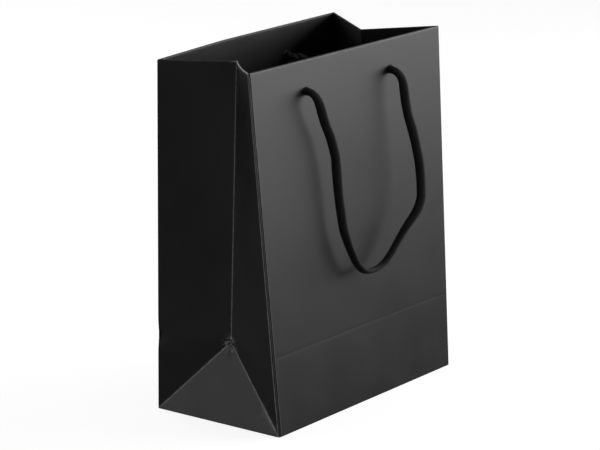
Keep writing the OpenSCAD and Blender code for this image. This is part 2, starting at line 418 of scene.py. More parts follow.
@dataclass(frozen=True)
class LaminateFinish:
    """The printed side of the paper: black under a matt laminate, pale where worn and along
    painted highlights.
    """

    black: Colour = (0.012, 0.012, 0.0125)
    # The pale colour of worn paper and dust, also used for the painted highlights along the score
    # lines and the front panel's cut edge.
    worn: Colour = (0.72, 0.72, 0.71)
    lighter: float = 1.25
    roughness: float = 0.43
    roughness_spread: float = 0.025
    worn_roughness: float = 0.25
    mottle_scale: float = 38.0
    grain_scale: float = 1900.0
    grain_height: float = 0.02 * MM
    scuff_scale: float = 330.0
    dust_scale: float = 95.0
    dust_radius: tuple[float, float] = (0.012, 0.030)
    dust_rarity: tuple[float, float] = (0.80, 0.83)
    dust_level: float = 0.22

    def make(self) -> bpy.types.Material:
        """Build the material.

        Returns:
            The laminate's material.
        """
        board = NodeBoard("matt_black_laminate")
        flat = board.uv()
        mottle = board.noise(flat, self.mottle_scale, 3.0, 0.6)
        grain = board.noise(flat, self.grain_scale, 2.0)
        scratches = board.noise(flat, self.scuff_scale, 4.0, 0.7)
        break_up = board.ramp(scratches, 0.30, 0.62, 0.35, 1.0)
        # The pale lines read here are worn folds and edges, and painted highlights along the
        # score lines and the front panel's cut edge.
        scuff_and_highlight = board.math("MULTIPLY", board.attribute("wear"), break_up)
        speck = board.add("ShaderNodeTexVoronoi", feature="F1", Scale=self.dust_scale)
        board.link(flat, speck.inputs["Vector"])
        dot = board.ramp(speck.outputs["Distance"], *self.dust_radius, 1.0, 0.0)
        rare = board.ramp(speck.outputs["Color"], *self.dust_rarity, 0.0, self.dust_level)
        dust = board.math("MULTIPLY", dot, rare)
        pale = board.math("MAXIMUM", scuff_and_highlight, dust)
        tint = board.mix(board.ramp(mottle, 0.35, 0.65, 0.0, 1.0), self.black,
                         tuple(self.lighter * part for part in self.black))
        board.link(board.mix(pale, tint, self.worn), board.shader.inputs["Base Color"])
        sheen = board.ramp(mottle, 0.3, 0.7, self.roughness - self.roughness_spread,
                           self.roughness + self.roughness_spread)
        rough = board.math("ADD", sheen, board.math("MULTIPLY", scuff_and_highlight, self.worn_roughness))
        board.link(rough, board.shader.inputs["Roughness"])
        board.set(IOR=1.5)
        board.bump(grain, self.grain_height, 0.35)
        return board.material


@dataclass(frozen=True)
class RawPaperFinish:
    """Bare dyed paper: the unprinted inside, or the cut edge with its paler core."""

    name: str
    colour: Colour
    fibre: Colour
    roughness: float = 0.85
    fibre_scale: float = 900.0
    fibre_height: float = 0.06 * MM

    def make(self) -> bpy.types.Material:
        """Build the material.

        Returns:
            The bare paper's material.
        """
        board = NodeBoard(self.name)
        flat = board.uv()
        fibres = board.noise(flat, self.fibre_scale, 5.0, 0.75)
        board.link(board.mix(board.ramp(fibres, 0.35, 0.7, 0.0, 1.0), self.colour, self.fibre),
                   board.shader.inputs["Base Color"])
        board.set(Roughness=self.roughness, IOR=1.45)
        board.bump(fibres, self.fibre_height, 0.5)
        return board.material


LINING = RawPaperFinish("bare_paper_inside", (0.020, 0.020, 0.0205), (0.036, 0.036, 0.037))
CUT_EDGE = RawPaperFinish("cut_paper_edge", (0.20, 0.20, 0.195), (0.42, 0.42, 0.41))


@dataclass(frozen=True)
class GreyBoardFinish:
    """Unlined grey board, with its flecks and fibres."""

    grey: Colour = (0.30, 0.285, 0.26)
    dark: Colour = (0.17, 0.16, 0.145)
    fleck: Colour = (0.42, 0.40, 0.36)
    cloud_scale: float = 60.0
    fibre_scale: float = 1400.0
    fibre_height: float = 0.08 * MM

    def make(self) -> bpy.types.Material:
        """Build the material.

        Returns:
            The board's material.
        """
        board = NodeBoard("grey_board")
        place = board.add("ShaderNodeTexCoord").outputs["Object"]
        clouds = board.noise(place, self.cloud_scale, 4.0, 0.6)
        fibres = board.noise(place, self.fibre_scale, 4.0, 0.8)
        body = board.mix(board.ramp(clouds, 0.3, 0.7, 0.0, 0.5), self.grey, self.dark)
        flecked = board.mix(board.ramp(fibres, 0.62, 0.72, 0.0, 0.8), body, self.fleck)
        board.link(flecked, board.shader.inputs["Base Color"])
        board.set(Roughness=0.9, IOR=1.45)
        board.bump(fibres, self.fibre_height, 0.6)
        return board.material


@dataclass(frozen=True)
class BraidFinish:
    """Black braided polyester cord, with the lines of its yarns."""

    black: Colour = (0.004, 0.004, 0.0042)
    # The painted highlight colour on the braid's crowns.
    lit: Colour = (0.030, 0.030, 0.031)
    yarn_scale: float = 4200.0
    yarn_height: float = 0.12 * MM
    fuzz_scale: float = 300.0

    def make(self) -> bpy.types.Material:
        """Build the material.

        Returns:
            The cord's material.
        """
        board = NodeBoard("black_braid")
        flat = board.uv()
        yarn = board.noise(flat, self.yarn_scale, 2.0, 0.6)
        fuzz = board.noise(flat, self.fuzz_scale, 4.0, 0.7)
        # Painted highlight and shade: the braid's crowns are painted lighter and the gaps between
        # its strands darker.
        shade = board.math("MULTIPLY", board.ramp(board.attribute("crown"), 0.2, 1.0, 0.0, 1.0),
                           board.ramp(fuzz, 0.3, 0.7, 0.4, 1.0))
        board.link(board.mix(shade, self.black, self.lit), board.shader.inputs["Base Color"])
        board.set(Roughness=0.72, IOR=1.38, Sheen_Weight=0.06, Sheen_Roughness=0.4)
        board.bump(yarn, self.yarn_height, 0.8)
        return board.material


# ---- The folded paper ----


def unit(vectors: np.ndarray) -> np.ndarray:
    """Scale each vector of an array to length one."""
    return vectors / np.linalg.norm(vectors, axis=-1, keepdims=True)


def ease(value: np.ndarray, start: float, end: float) -> np.ndarray:
    """A smooth step from zero at the start to one at the end."""
    share = np.clip((value - start) / (end - start), 0, 1)
    return share * share * (3 - 2 * share)


def blend_rows(a: np.ndarray, b: np.ndarray, share: np.ndarray) -> np.ndarray:
    """Go from the points a to the points b by a share for each row."""
    return a + (b - a) * np.asarray(share)[:, None]


def mitre(first: np.ndarray, deep_first: np.ndarray, second: np.ndarray,
          deep_second: np.ndarray) -> np.ndarray:
    """Find the step from a fold to where two layers meet at their own depths.

    Args:
        first: Unit normals of the first face.
        deep_first: Depth of the layer behind the first face.
        second: Unit normals of the second face.
        deep_second: Depth of the layer behind the second face.

    Returns:
        The step for each row.
    """
    share = np.sum(first * second, axis=-1)
    spread = 1 - share ** 2
    along_first = (deep_first - deep_second * share) / spread
    along_second = (deep_second - deep_first * share) / spread
    return first * along_first[:, None] + second * along_second[:, None]


@dataclass(frozen=True)
class BagSizes:
    """The bag's sizes, the same as the construction model's."""

    width: float = 180 * MM
    depth: float = 100 * MM
    height: float = 230 * MM
    paper: float = 0.35 * MM
    lean_front_left: float = 18 * MM
    lean_front_right: float = 6 * MM
    lean_back_left: float = 9 * MM
    lean_back_right: float = 8 * MM
    back_bow: float = 3.5 * MM
    bend_share: float = 0.375
    push_left: float = 31 * MM
    push_right: float = 28 * MM
    crease_y_left: float = 2.6 * MM
    crease_y_right: float = -2.4 * MM
    crease_rise: float = 0.99
    foot_push: float = 14 * MM
    foot_y: float = -1 * MM
    front_leaf_bow: float = 1.2 * MM
    rear_leaf_bow: float = 1.5 * MM
    hem: float = 40 * MM
    seam_flap: float = 18 * MM
    seam_inset: float = 2 * MM
    seam_depth: float = 0.40 * MM
    flap: float = 65 * MM
    hole_spacing: float = 80 * MM
    hole_drop: float = 20 * MM
    hole: float = 6 * MM
    card: float = 0.5 * MM
    card_inset: float = 5 * MM

    @property
    def foot_height(self) -> float:
        """Height of the foot triangles."""
        return self.depth / 2

    def lean(self, side_x: int, side_y: int) -> float:
        """How far a corner's top leans into the bag."""
        if side_y == SideY.FRONT:
            return self.lean_front_left if side_x == SideX.LEFT else self.lean_front_right
        return self.lean_back_left if side_x == SideX.LEFT else self.lean_back_right


class FoldLines:
    """The straight folds of the bag, and the normals that point into it."""

    BEND_SOFTNESS = 0.10

    def __init__(self, sizes: BagSizes) -> None:
        """Keep the sizes that the folds follow."""
        self.sizes = sizes

    def foot(self, side_x: int, side_y: int) -> np.ndarray:
        """The lower end of a corner fold."""
        return np.array([side_x * self.sizes.width / 2, side_y * self.sizes.depth / 2, 0.0])

    def top(self, side_x: int, side_y: int) -> np.ndarray:
        """The upper end of a corner fold."""
        lean = self.sizes.lean(side_x, side_y)
        rise = math.sqrt(self.sizes.height ** 2 - lean ** 2)
        return self.foot(side_x, side_y) + np.array([0.0, -side_y * lean, rise])

    def corner(self, side_x: int, side_y: int, height: np.ndarray) -> np.ndarray:
        """Points of a corner fold at heights along the paper."""
        foot, top = self.foot(side_x, side_y), self.top(side_x, side_y)
        return foot + np.outer(height / self.sizes.height, top - foot)

    def apex(self, side_x: int) -> np.ndarray:
        """The point of a foot triangle, where a gusset's creases meet."""
        sizes = self.sizes
        return np.array([side_x * (sizes.width / 2 - sizes.foot_push), sizes.foot_y,
                         sizes.foot_height])

    def crease_top(self, side_x: int) -> np.ndarray:
        """The end of a gusset's centre crease at the mouth.

        Args:
            side_x: The gusset's side.

        Returns:
            The point.
        """
        sizes = self.sizes
        left = side_x == SideX.LEFT
        push = sizes.push_left if left else sizes.push_right
        along = sizes.crease_y_left if left else sizes.crease_y_right
        return np.array([side_x * (sizes.width / 2 - push), along,
                         sizes.crease_rise * sizes.height])

    def crease(self, side_x: int, height: np.ndarray) -> np.ndarray:
        """Points of a gusset's centre crease, above the foot triangle."""
        rise = (height - self.sizes.foot_height) / (self.sizes.height - self.sizes.foot_height)
        return self.apex(side_x) + np.outer(rise, self.crease_top(side_x) - self.apex(side_x))

    def wall_normal(self, side_y: int, share: np.ndarray, height: np.ndarray) -> np.ndarray:
        """Normals of the front or back panel.

        Args:
            side_y: The side, front or back.
            share: Shares across the panel, from the left.
            height: Heights along the paper.

        Returns:
            Unit normals that point into the bag.
        """
        across = self.corner(1, side_y, height) - self.corner(-1, side_y, height)
        left = self.top(-1, side_y) - self.foot(-1, side_y)
        right = self.top(1, side_y) - self.foot(1, side_y)
        up = left + np.asarray(share)[:, None] * (right - left)
        return side_y * unit(np.cross(across, up))

    def wall_bow(self, side_y: int, share: np.ndarray, height: np.ndarray) -> np.ndarray:
        """How far a panel stands out from the straight line between its folds.

        Args:
            side_y: The side, front or back.
            share: Shares across the panel, from the left.
            height: Heights along the paper.

        Returns:
            The distances.
        """
        if side_y == SideY.FRONT:
            return np.zeros(len(share))
        sizes = self.sizes
        left, right = share / sizes.bend_share, (1 - share) / (1 - sizes.bend_share)
        tent = (left + right - np.sqrt((left - right) ** 2 + self.BEND_SOFTNESS ** 2)) / 2
        return sizes.back_bow * np.maximum(tent, 0.0) * (height / sizes.height) ** 2

    def leaf_normal(self, side_x: int, side_y: int, height: np.ndarray) -> np.ndarray:
        """Normals of a gusset leaf.

        Args:
            side_x: The side, left or right.
            side_y: The side, front or back.
            height: Heights along the paper.

        Returns:
            Unit normals that point into the bag.
        """
        row = np.maximum(height, self.sizes.foot_height)
        across = self.crease(side_x, row) - self.corner(side_x, side_y, row)
        up = self.top(side_x, side_y) - self.foot(side_x, side_y)
        return side_x * side_y * unit(np.cross(across, up))


class FoldedBlank:
    """Takes points of the flat blank to their places on the folded bag.

    The blank's first coordinate runs round the bag from the left front fold, and its
    second runs up the paper, past the mouth into the hem, and below zero into the bottom
    flaps.
    """

    TURN_START = 0.8 * MM
    TURN_LENGTH = 2.7 * MM
    TURN_RISE = 0.6 * MM
    HEM_DEPTH_FRONT = 1.70 * MM
    HEM_DEPTH_BACK = 1.30 * MM
    HEM_DEPTH_LEAF = 0.75 * MM
    SEAM_HEM_DEPTH = 1.30 * MM
    FOLD_RADIUS = 0.35 * MM
    SEAM_FOLD_RADIUS = 1.5 * MM
    # Where the bottom flaps rise on to the flaps below them, from their folds
    BACK_FLAP_RISE = (15 * MM, 30 * MM)
    GUSSET_FLAP_RISE = (2 * MM, 14 * MM)
    # Rings of places that a rounded fold is the mean of: reach, count and weight
    ROUNDING_RINGS = ((0.0, 1, 1.0), (0.5, 6, 1.0), (1.0, 8, 0.75))
    NORMAL_STEP = 0.3 * MM

    def __init__(self, sizes: BagSizes) -> None:
        """Work out where the folds cross the blank.

        Args:
            sizes: The bag's sizes.
        """
        self.sizes = sizes
        self.lines = FoldLines(sizes)
        leaf = sizes.depth / 2
        self.front_end = sizes.width
        self.right_crease = self.front_end + leaf
        self.back_start = self.right_crease + leaf
        self.back_end = self.back_start + sizes.width
        self.left_crease = self.back_end + leaf
        self.seam_fold = self.left_crease + leaf
        self.end = self.seam_fold + sizes.seam_flap
        self.turn_from = sizes.height - self.TURN_START
        self.turn_to = self.turn_from + self.TURN_LENGTH
        self.hem_end = self.turn_to + sizes.hem

    def hem_row(self, height: float) -> float:
        """Where the hem of the flat blank reaches a height, once turned in."""
        return self.turn_to + self.sizes.height - self.TURN_RISE - height

    def rows(self, up: np.ndarray) -> tuple[np.ndarray, np.ndarray]:
        """Find the height and the turn at rows of the flat blank.

        Args:
            up: Second coordinates of the flat blank.

        Returns:
            Heights along the paper, and shares of the turn into the hem.
        """
        crest = self.sizes.height - self.TURN_RISE
        angle = math.pi * np.clip((up - self.turn_from) / self.TURN_LENGTH, 0, 1)
        height = np.where(up < self.turn_from, up * crest / self.turn_from,
                          crest + self.TURN_RISE * np.sin(angle))
        height = np.where(up > self.turn_to, crest - (up - self.turn_to), height)
        return height, (1 - np.cos(angle)) / 2

    def corner(self, side_x: int, side_y: int, height: np.ndarray, deep_wall: np.ndarray,
               deep_leaf: np.ndarray) -> np.ndarray:
        """Points of a corner fold, at a depth behind each face that meets there.

        Args:
            side_x: The side, left or right.
            side_y: The side, front or back.
            height: Heights along the paper.
            deep_wall: Depths behind the panel.
            deep_leaf: Depths behind the leaf.

        Returns:
            The points.
        """
        share = np.full(len(height), 0.0 if side_x < 0 else 1.0)
        return self.lines.corner(side_x, side_y, height) + mitre(
            self.lines.wall_normal(side_y, share, height), deep_wall,
            self.lines.leaf_normal(side_x, side_y, height), deep_leaf)

    def wall(self, side_y: int, share: np.ndarray, up: np.ndarray) -> np.ndarray:
        """Points of a panel and its hem, with shares counted from the left.

        Args:
            side_y: The side, front or back.
            share: Shares across the panel.
            up: Second coordinates of the flat blank.

        Returns:
            The folded points.
        """
        height, turn = self.rows(np.maximum(up, 0.0))
        front = side_y == SideY.FRONT
        deep = turn * (self.HEM_DEPTH_FRONT if front else self.HEM_DEPTH_BACK)
        leaf = turn * self.HEM_DEPTH_LEAF
        right = self.corner(1, side_y, height, deep, leaf)
        if front:
            normal = self.lines.wall_normal(side_y, np.zeros(len(up)), height)
            left = self.lines.corner(-1, side_y, height) + normal * deep[:, None]
        else:
            left = self.corner(-1, side_y, height, deep, leaf)
        placed = blend_rows(left, right, share)
        bow = self.lines.wall_bow(side_y, share, height)
        placed -= self.lines.wall_normal(side_y, share, height) * bow[:, None]
        below = np.maximum(-up, 0.0)
        placed[:, 1] -= side_y * below
        if not front:
            placed[:, 2] += self.sizes.seam_depth * ease(below, *self.BACK_FLAP_RISE)
        return placed

    def seam_flap(self, along: np.ndarray, up: np.ndarray) -> np.ndarray:
        """Points of the glue flap, behind the front panel's edge.

        Args:
            along: Distances from the seam fold.
            up: Second coordinates of the flat blank.

        Returns:
            The folded points.
        """
        height, _ = self.rows(np.maximum(up, 0.0))
        share = along / self.sizes.width
        left, right = self.lines.corner(-1, -1, height), self.lines.corner(1, -1, height)
        normal = self.lines.wall_normal(-1, share, height)
        return blend_rows(left, right, share) + normal * self.sizes.seam_depth

    def leaf(self, side_x: int, side_y: int, share: np.ndarray, up: np.ndarray) -> np.ndarray:
        """Points of a gusset leaf and its half of the foot triangle.

        Args:
            side_x: The gusset's side.
            side_y: The leaf's side.
            share: Shares of the leaf's width, from its corner fold.
            up: Second coordinates of the flat blank.

        Returns:
            The folded points.
        """
        sizes, lines = self.sizes, self.lines
        height, turn = self.rows(np.maximum(up, 0.0))
        seam = side_x == SideX.LEFT and side_y == SideY.FRONT
        if seam:
            deep_wall = sizes.seam_depth + turn * (self.SEAM_HEM_DEPTH - sizes.seam_depth)
        elif side_y == SideY.FRONT:
            deep_wall = turn * self.HEM_DEPTH_FRONT
        else:
            deep_wall = turn * self.HEM_DEPTH_BACK
        deep = turn * self.HEM_DEPTH_LEAF
        corner = self.corner(side_x, side_y, height, deep_wall, deep)
        above = np.maximum(height, sizes.foot_height)
        front = lines.leaf_normal(side_x, -1, above)
        rear = lines.leaf_normal(side_x, 1, above)
        upper = lines.crease(side_x, above) + mitre(front, deep, rear, deep)
        start = self.corner(side_x, side_y, np.zeros(1), np.zeros(1) + (
            sizes.seam_depth if seam else 0.0), np.zeros(1))[0]
        part = np.clip(height / sizes.foot_height, SLACK, 1.0)
        diagonal = start + np.outer(part, lines.apex(side_x) - start)
        inner = np.where((height >= sizes.foot_height)[:, None], upper, diagonal)
        reach = np.where(height >= sizes.foot_height, share, share / part)
        placed = blend_rows(corner, inner, reach)
        rise = np.clip((height - sizes.foot_height) / (sizes.height - sizes.foot_height), 0, 1)
        bow = self.leaf_swell(side_x, side_y) * np.sin(math.pi * np.clip(share, 0, 1)) * rise ** 2
        placed -= lines.leaf_normal(side_x, side_y, height) * bow[:, None]
        foot = self.foot_triangle(side_x, side_y, share, up)
        return np.where((share > height / sizes.foot_height)[:, None], foot, placed)

    def leaf_swell(self, side_x: int, side_y: int) -> float:
        """How far a leaf bows outwards at the mouth.

        Args:
            side_x: The side, left or right.
            side_y: The side, front or back.

        Returns:
            The distance.
        """
        if side_x == SideX.RIGHT:
            return 0.0
        sizes = self.sizes
        return sizes.front_leaf_bow if side_y == SideY.FRONT else sizes.rear_leaf_bow

    def foot_triangle(self, side_x: int, side_y: int, share: np.ndarray,
                      up: np.ndarray) -> np.ndarray:
        """Points of half a foot triangle and of the bottom flap below it.

        Args:
            side_x: The side, left or right.
            side_y: The leaf whose half it is.
            share: Shares of the leaf's width, from its corner fold.
            up: Second coordinates of the flat blank.

        Returns:
            The folded points.
        """
        sizes = self.sizes
        near = self.lines.foot(side_x, side_y)
        far = self.lines.foot(side_x, -side_y)
        if side_x == SideX.LEFT:
            behind = np.array([0.0, sizes.seam_depth, 0.0])
            near, far = (near + behind, far) if side_y < 0 else (near, far + behind)
        across = share / 2
        above = np.maximum(up, 0.0) / sizes.depth
        placed = (np.outer(1 - across - above, near) + np.outer(across - above, far)
                  + np.outer(2 * above, self.lines.apex(side_x)))
        below = np.maximum(-up, 0.0)
        placed[:, 0] -= side_x * below
        placed[:, 2] += 2 * sizes.seam_depth * ease(below, *self.GUSSET_FLAP_RISE)
        return placed

    def sharp(self, flat: np.ndarray) -> np.ndarray:
        """Fold points of the blank, with sharp folds.

        Args:
            flat: Points of the flat blank.

        Returns:
            The places of the paper's printed face.
        """
        along, up = flat[:, 0], flat[:, 1]
        width, half = self.sizes.width, self.sizes.depth / 2
        placed = np.zeros((len(flat), 3))
        zones = [
            (along < self.front_end,
             lambda m: self.wall(SideY.FRONT, along[m] / width, up[m])),
            ((along >= self.front_end) & (along < self.right_crease),
             lambda m: self.leaf(1, -1, (along[m] - self.front_end) / half, up[m])),
            ((along >= self.right_crease) & (along < self.back_start),
             lambda m: self.leaf(1, 1, (self.back_start - along[m]) / half, up[m])),
            ((along >= self.back_start) & (along < self.back_end),
             lambda m: self.wall(SideY.BACK, (self.back_end - along[m]) / width, up[m])),
            ((along >= self.back_end) & (along < self.left_crease),
             lambda m: self.leaf(-1, 1, (along[m] - self.back_end) / half, up[m])),
            ((along >= self.left_crease) & (along < self.seam_fold),
             lambda m: self.leaf(-1, -1, (self.seam_fold - along[m]) / half, up[m])),
            (along >= self.seam_fold,
             lambda m: self.seam_flap(along[m] - self.seam_fold, up[m])),
        ]
        for where, fold in zones:
            if where.any():
                placed[where] = fold(where)
        return placed

    def rounded(self, flat: np.ndarray) -> np.ndarray:
        """Fold points of the blank, with each fold eased to its radius.

        Args:
            flat: Points of the flat blank.

        Returns:
            The places of the paper's printed face.
        """
        near_seam = np.abs(flat[:, 0] - self.seam_fold)
        radius = np.where(near_seam < 2 * self.SEAM_FOLD_RADIUS, self.SEAM_FOLD_RADIUS,
                          self.FOLD_RADIUS)
        fade = np.clip(near_seam / self.SEAM_FOLD_RADIUS - 1, 0, 1)
        radius = radius + (self.FOLD_RADIUS - radius) * fade
        total, weight = np.zeros((len(flat), 3)), 0.0
        for reach, count, share in self.ROUNDING_RINGS:
            for turn in range(count):
                angle = 2 * math.pi * turn / count
                step = np.column_stack([radius * reach * math.cos(angle),
                                        np.minimum(radius, self.FOLD_RADIUS) * reach
                                        * math.sin(angle)])
                total += share * self.sharp(flat + step)
                weight += share
        return total / weight

    def normals(self, flat: np.ndarray, folded: np.ndarray) -> np.ndarray:
        """Normals of the printed face at points of the blank."""
        round_bag = self.rounded(flat + [self.NORMAL_STEP, 0.0]) - folded
        up_paper = self.rounded(flat + [0.0, self.NORMAL_STEP]) - folded
        return unit(np.cross(round_bag, up_paper))


@dataclass(frozen=True)
class PaleLine:
    """A stretch of the flat blank that is painted pale: most are worn folds and edges, some are
    painted highlights.
    """

    start: tuple[float, float]
    end: tuple[float, float]
    strength: float
    width: float

    def wear(self, flat: np.ndarray) -> np.ndarray:
        """How pale this line paints each point of the flat blank.

        Args:
            flat: Points of the flat blank.

        Returns:
            Shares from 0 to the strength.
        """
        start, end = np.array(self.start), np.array(self.end)
        run = end - start
        share = np.clip((flat - start) @ run / (run @ run), 0, 1)
        away = np.linalg.norm(flat - start - np.outer(share, run), axis=1)
        return self.strength * np.exp(-(away / self.width) ** 2)


@dataclass
class PaperBag:
    """The bag's one sheet of paper, cut as a flat blank and folded up."""

    sizes: BagSizes
    cell: float = 4 * MM
    hole_patch: float = 6 * MM
    hole_sides: int = 32
    apex_patch: float = 11 * MM
    blank: FoldedBlank = field(init=False)
    piece: bpy.types.Object = field(init=False)

    # Places of the grid's lines beside each fold, in millimetres
    FOLD_STEPS = (-1.0, -0.5, -0.25, 0.0, 0.25, 0.5, 1.0)
    SEAM_STEPS = (-3.0, -2.0, -1.5, -1.1, -0.8, -0.4, 0.0, 0.4, 0.8, 1.2, 1.6, 2.4)
    FOOT_STEPS = (-2.0, -0.9, -0.35, 0.35, 0.9, 2.0)
    DIAGONAL_STEPS = (-1.0, -0.5, 0.0, 0.5, 1.0)
    EDGE_STEP = 0.8 * MM
    # Where the pale lines, worn and painted highlights, lie beside their folds and edges
    EDGE_SHARE = 0.35
    SEAM_WEAR_SHIFT = 0.9 * MM
    CREASE_STOP = 12 * MM
    WIDE_SCUFF_TOP = 0.32
    TURN_STEPS = 6
    DIGITS = 7
    # The paper's swell between its folds: share, waves along, waves up
    SWELL = 0.16 * MM
    SWELL_WAVES = ((1.0, 41.0, 17.0), (0.6, 23.0, 63.0))
    SWELL_END = 22 * MM
    GUSSET_SWELL = 1.6
    PRESSED = 0.05 * MM
    PRESSED_WIDTH = 0.7 * MM
    GUSSET_PRESSED = 0.25
    NOTCH = 0.9 * MM
    NOTCH_SIZE = (5 * MM, 6 * MM)
    # The crushed paper round the points of the foot triangles
    CRUMPLE_DROP = 1.5 * MM
    CRUMPLE_FADE = (2 * MM, 9 * MM)
    CRUMPLE_REACH = 10 * MM
    CRUMPLE_SCALE = 420.0
    CRUMPLE_HEIGHT = 0.45 * MM
    CRUMPLE_WEAR = 0.75
    CRUMPLE_WEAR_FROM = 0.40

    def __post_init__(self) -> None:
        """Set out the blank's folds."""
        self.blank = FoldedBlank(self.sizes)

    def build(self) -> bpy.types.Object:
        """Cut the blank, fold it, and give it its thickness.

        Returns:
            The folded bag.
        """
        self.piece = add_grid("folded_paper", self.column_lines(), self.row_lines())
        self.cut_outline()
        self.score_foot_diagonals()
        self.refine_apexes()
        for place in self.hole_places():
            self.punch(place)
        self.fold()
        apply_modifier(self.piece, "SOLIDIFY", thickness=self.sizes.paper, offset=-1.0,
                       use_even_offset=False, use_quality_normals=True,
                       material_offset=1, material_offset_rim=2)
        smooth(self.piece, 50.0)
        return self.piece

    def column_lines(self) -> list[float]:
        """Lines of the blank's grid round the bag, close together at each fold.

        Returns:
            The lines' places, in order.
        """
        blank, sizes = self.blank, self.sizes
        fixed = [sizes.seam_inset, sizes.seam_inset + self.EDGE_STEP, blank.end]
        for fold in (blank.front_end, blank.right_crease, blank.back_start, blank.back_end,
                     blank.left_crease):
            fixed += [fold + part * MM for part in self.FOLD_STEPS]
        fixed += [blank.seam_fold + part * MM for part in self.SEAM_STEPS]
        for across, _ in self.hole_places():
            fixed += [across - self.hole_patch, across + self.hole_patch]
        return grid_lines(sorted(set(round(line, self.DIGITS) for line in fixed)), self.cell)

    def row_lines(self) -> list[float]:
        """Lines of the blank's grid up the paper.

        Returns:
            The lines' places, in order.
        """
        blank, sizes = self.blank, self.sizes
        fixed = [-sizes.flap, blank.hem_end]
        fixed += [part * MM for part in self.FOLD_STEPS]
        fixed += [sizes.foot_height + part * MM for part in self.FOOT_STEPS]
        fixed += [blank.turn_from - 1.0 * MM, blank.turn_to + 1.0 * MM]
        fixed += even_steps(blank.turn_from, blank.turn_to, blank.TURN_LENGTH / self.TURN_STEPS)
        for row in (self.wall_hole_row, self.hem_hole_row):
            fixed += [row - self.hole_patch, row + self.hole_patch]
        return grid_lines(sorted(set(round(line, self.DIGITS) for line in fixed)), self.cell)

    @property
    def wall_hole_row(self) -> float:
        """Where the holes are punched in the panels."""
        return self.sizes.height - self.sizes.hole_drop

    @property
    def hem_hole_row(self) -> float:
        """Where the same holes fall in the hems, once turned in."""
        return self.blank.hem_row(self.wall_hole_row)

    def hole_places(self) -> list[tuple[float, float]]:
        """Middles of the punched holes on the flat blank.

        Returns:
            Each middle, in the panels and in the hems.
        """
        half = self.sizes.hole_spacing / 2
        front = self.sizes.width / 2
        back = self.blank.back_start + self.sizes.width / 2
        return [(middle + side * half, row) for middle in (front, back) for side in (-1, 1)
                for row in (self.wall_hole_row, self.hem_hole_row)]

    def edit(self) -> None:
        """Enter edit mode on the blank."""
        make_active(self.piece)
        bpy.ops.object.mode_set(mode="EDIT")

    def cut_line(self, start: tuple[float, float], direction: tuple[float, float],
                 zone: Callable[[Vector], bool]) -> None:
        """Cut one straight line across the faces of a zone.

        Args:
            start: A point of the line.
            direction: The way it runs.
            zone: Says of a face's middle whether the line cuts it.
        """
        if select_faces(self.piece, zone):
            bpy.ops.mesh.bisect(plane_co=(*start, 0.0),
                                plane_no=(-direction[1], direction[0], 0.0))

    def delete_faces(self, zone: Callable[[Vector], bool]) -> None:
        """Cut away the faces of a zone."""
        if select_faces(self.piece, zone):
            bpy.ops.mesh.delete(type="FACE")

    def cut_outline(self) -> None:
        """Cut the bottom flaps apart, with 45 degree ends, and trim the glue flap."""
        blank, sizes = self.blank, self.sizes
        self.edit()
        corners = [0.0, blank.front_end, blank.back_start, blank.back_end, blank.seam_fold]
        for corner in corners:
            for lean in (-1.0, 1.0):
                self.cut_line((corner, 0.0), (lean, -1.0), lambda c, x=corner: (
                    c.y < 0 and abs(c.x - x) < sizes.flap))
        self.delete_faces(lambda c: c.y < 0 and any(
            abs(c.x - corner) < -c.y - SLACK / 10 for corner in corners))
        self.delete_faces(lambda c: c.y < 0 and c.x > blank.seam_fold)
        self.delete_faces(lambda c: c.x > blank.seam_fold and c.y > blank.turn_from - 1.0 * MM)
        deselect_all()

    def score_foot_diagonals(self) -> None:
        """Cut close lines along the diagonal folds of both foot triangles."""
        blank, top = self.blank, self.sizes.foot_height
        self.edit()
        for crease in (blank.right_crease, blank.left_crease):
            for lean in (-1.0, 1.0):
                for part in self.DIAGONAL_STEPS:
                    shift = part * MM * math.sqrt(2)
                    self.cut_line((crease + shift, top), (lean, 1.0),
                                  lambda c, x=crease, side=lean: (
                                      0 < c.y < top and 0 < (x - c.x) * side < top))
        deselect_all()

    def refine_apexes(self) -> None:
        """Divide the faces round the points of the foot triangles, where they crumple."""
        self.edit()
        for crease in (self.blank.right_crease, self.blank.left_crease):
            middle = Vector((crease, self.sizes.foot_height, 0.0))
            if select_faces(self.piece, lambda c, m=middle: (c - m).length < self.apex_patch):
                bpy.ops.mesh.subdivide(number_cuts=2)
        deselect_all()

    def punch(self, place: tuple[float, float]) -> None:
        """Punch one round hole, joined to the grid round it.

        Args:
            place: The hole's middle on the flat blank.
        """
        middle = Vector((*place, 0.0))
        reach = self.hole_patch
        self.edit()
        self.delete_faces(lambda c: abs(c.x - middle.x) < reach and abs(c.y - middle.y) < reach)
        bpy.ops.mesh.select_mode(type="EDGE")
        bpy.ops.mesh.primitive_circle_add(vertices=self.hole_sides, radius=self.sizes.hole / 2,
                                          location=middle)
        mesh = bmesh.from_edit_mesh(self.piece.data)
        for edge in mesh.edges:
            centre = (edge.verts[0].co + edge.verts[1].co) / 2 - middle
            inside = max(abs(centre.x), abs(centre.y)) < reach + SLACK
            edge.select_set(inside and len(edge.link_faces) < 2)
        bmesh.update_edit_mesh(self.piece.data)
        bpy.ops.mesh.bridge_edge_loops()
        deselect_all()

    def worn_lines(self) -> list[PaleLine]:
        """The folds and edges that are painted pale on the flat blank: worn ones, and painted
        highlights along the score lines and the front panel's cut edge.

        Returns:
            The lines.
        """
        blank, sizes, inset = self.blank, self.sizes, self.sizes.seam_inset
        low, high = sizes.foot_height, sizes.height
        edge = blank.turn_from + blank.TURN_LENGTH * self.EDGE_SHARE
        seam = blank.seam_fold - self.SEAM_WEAR_SHIFT
        front_stop = blank.front_end - self.CREASE_STOP
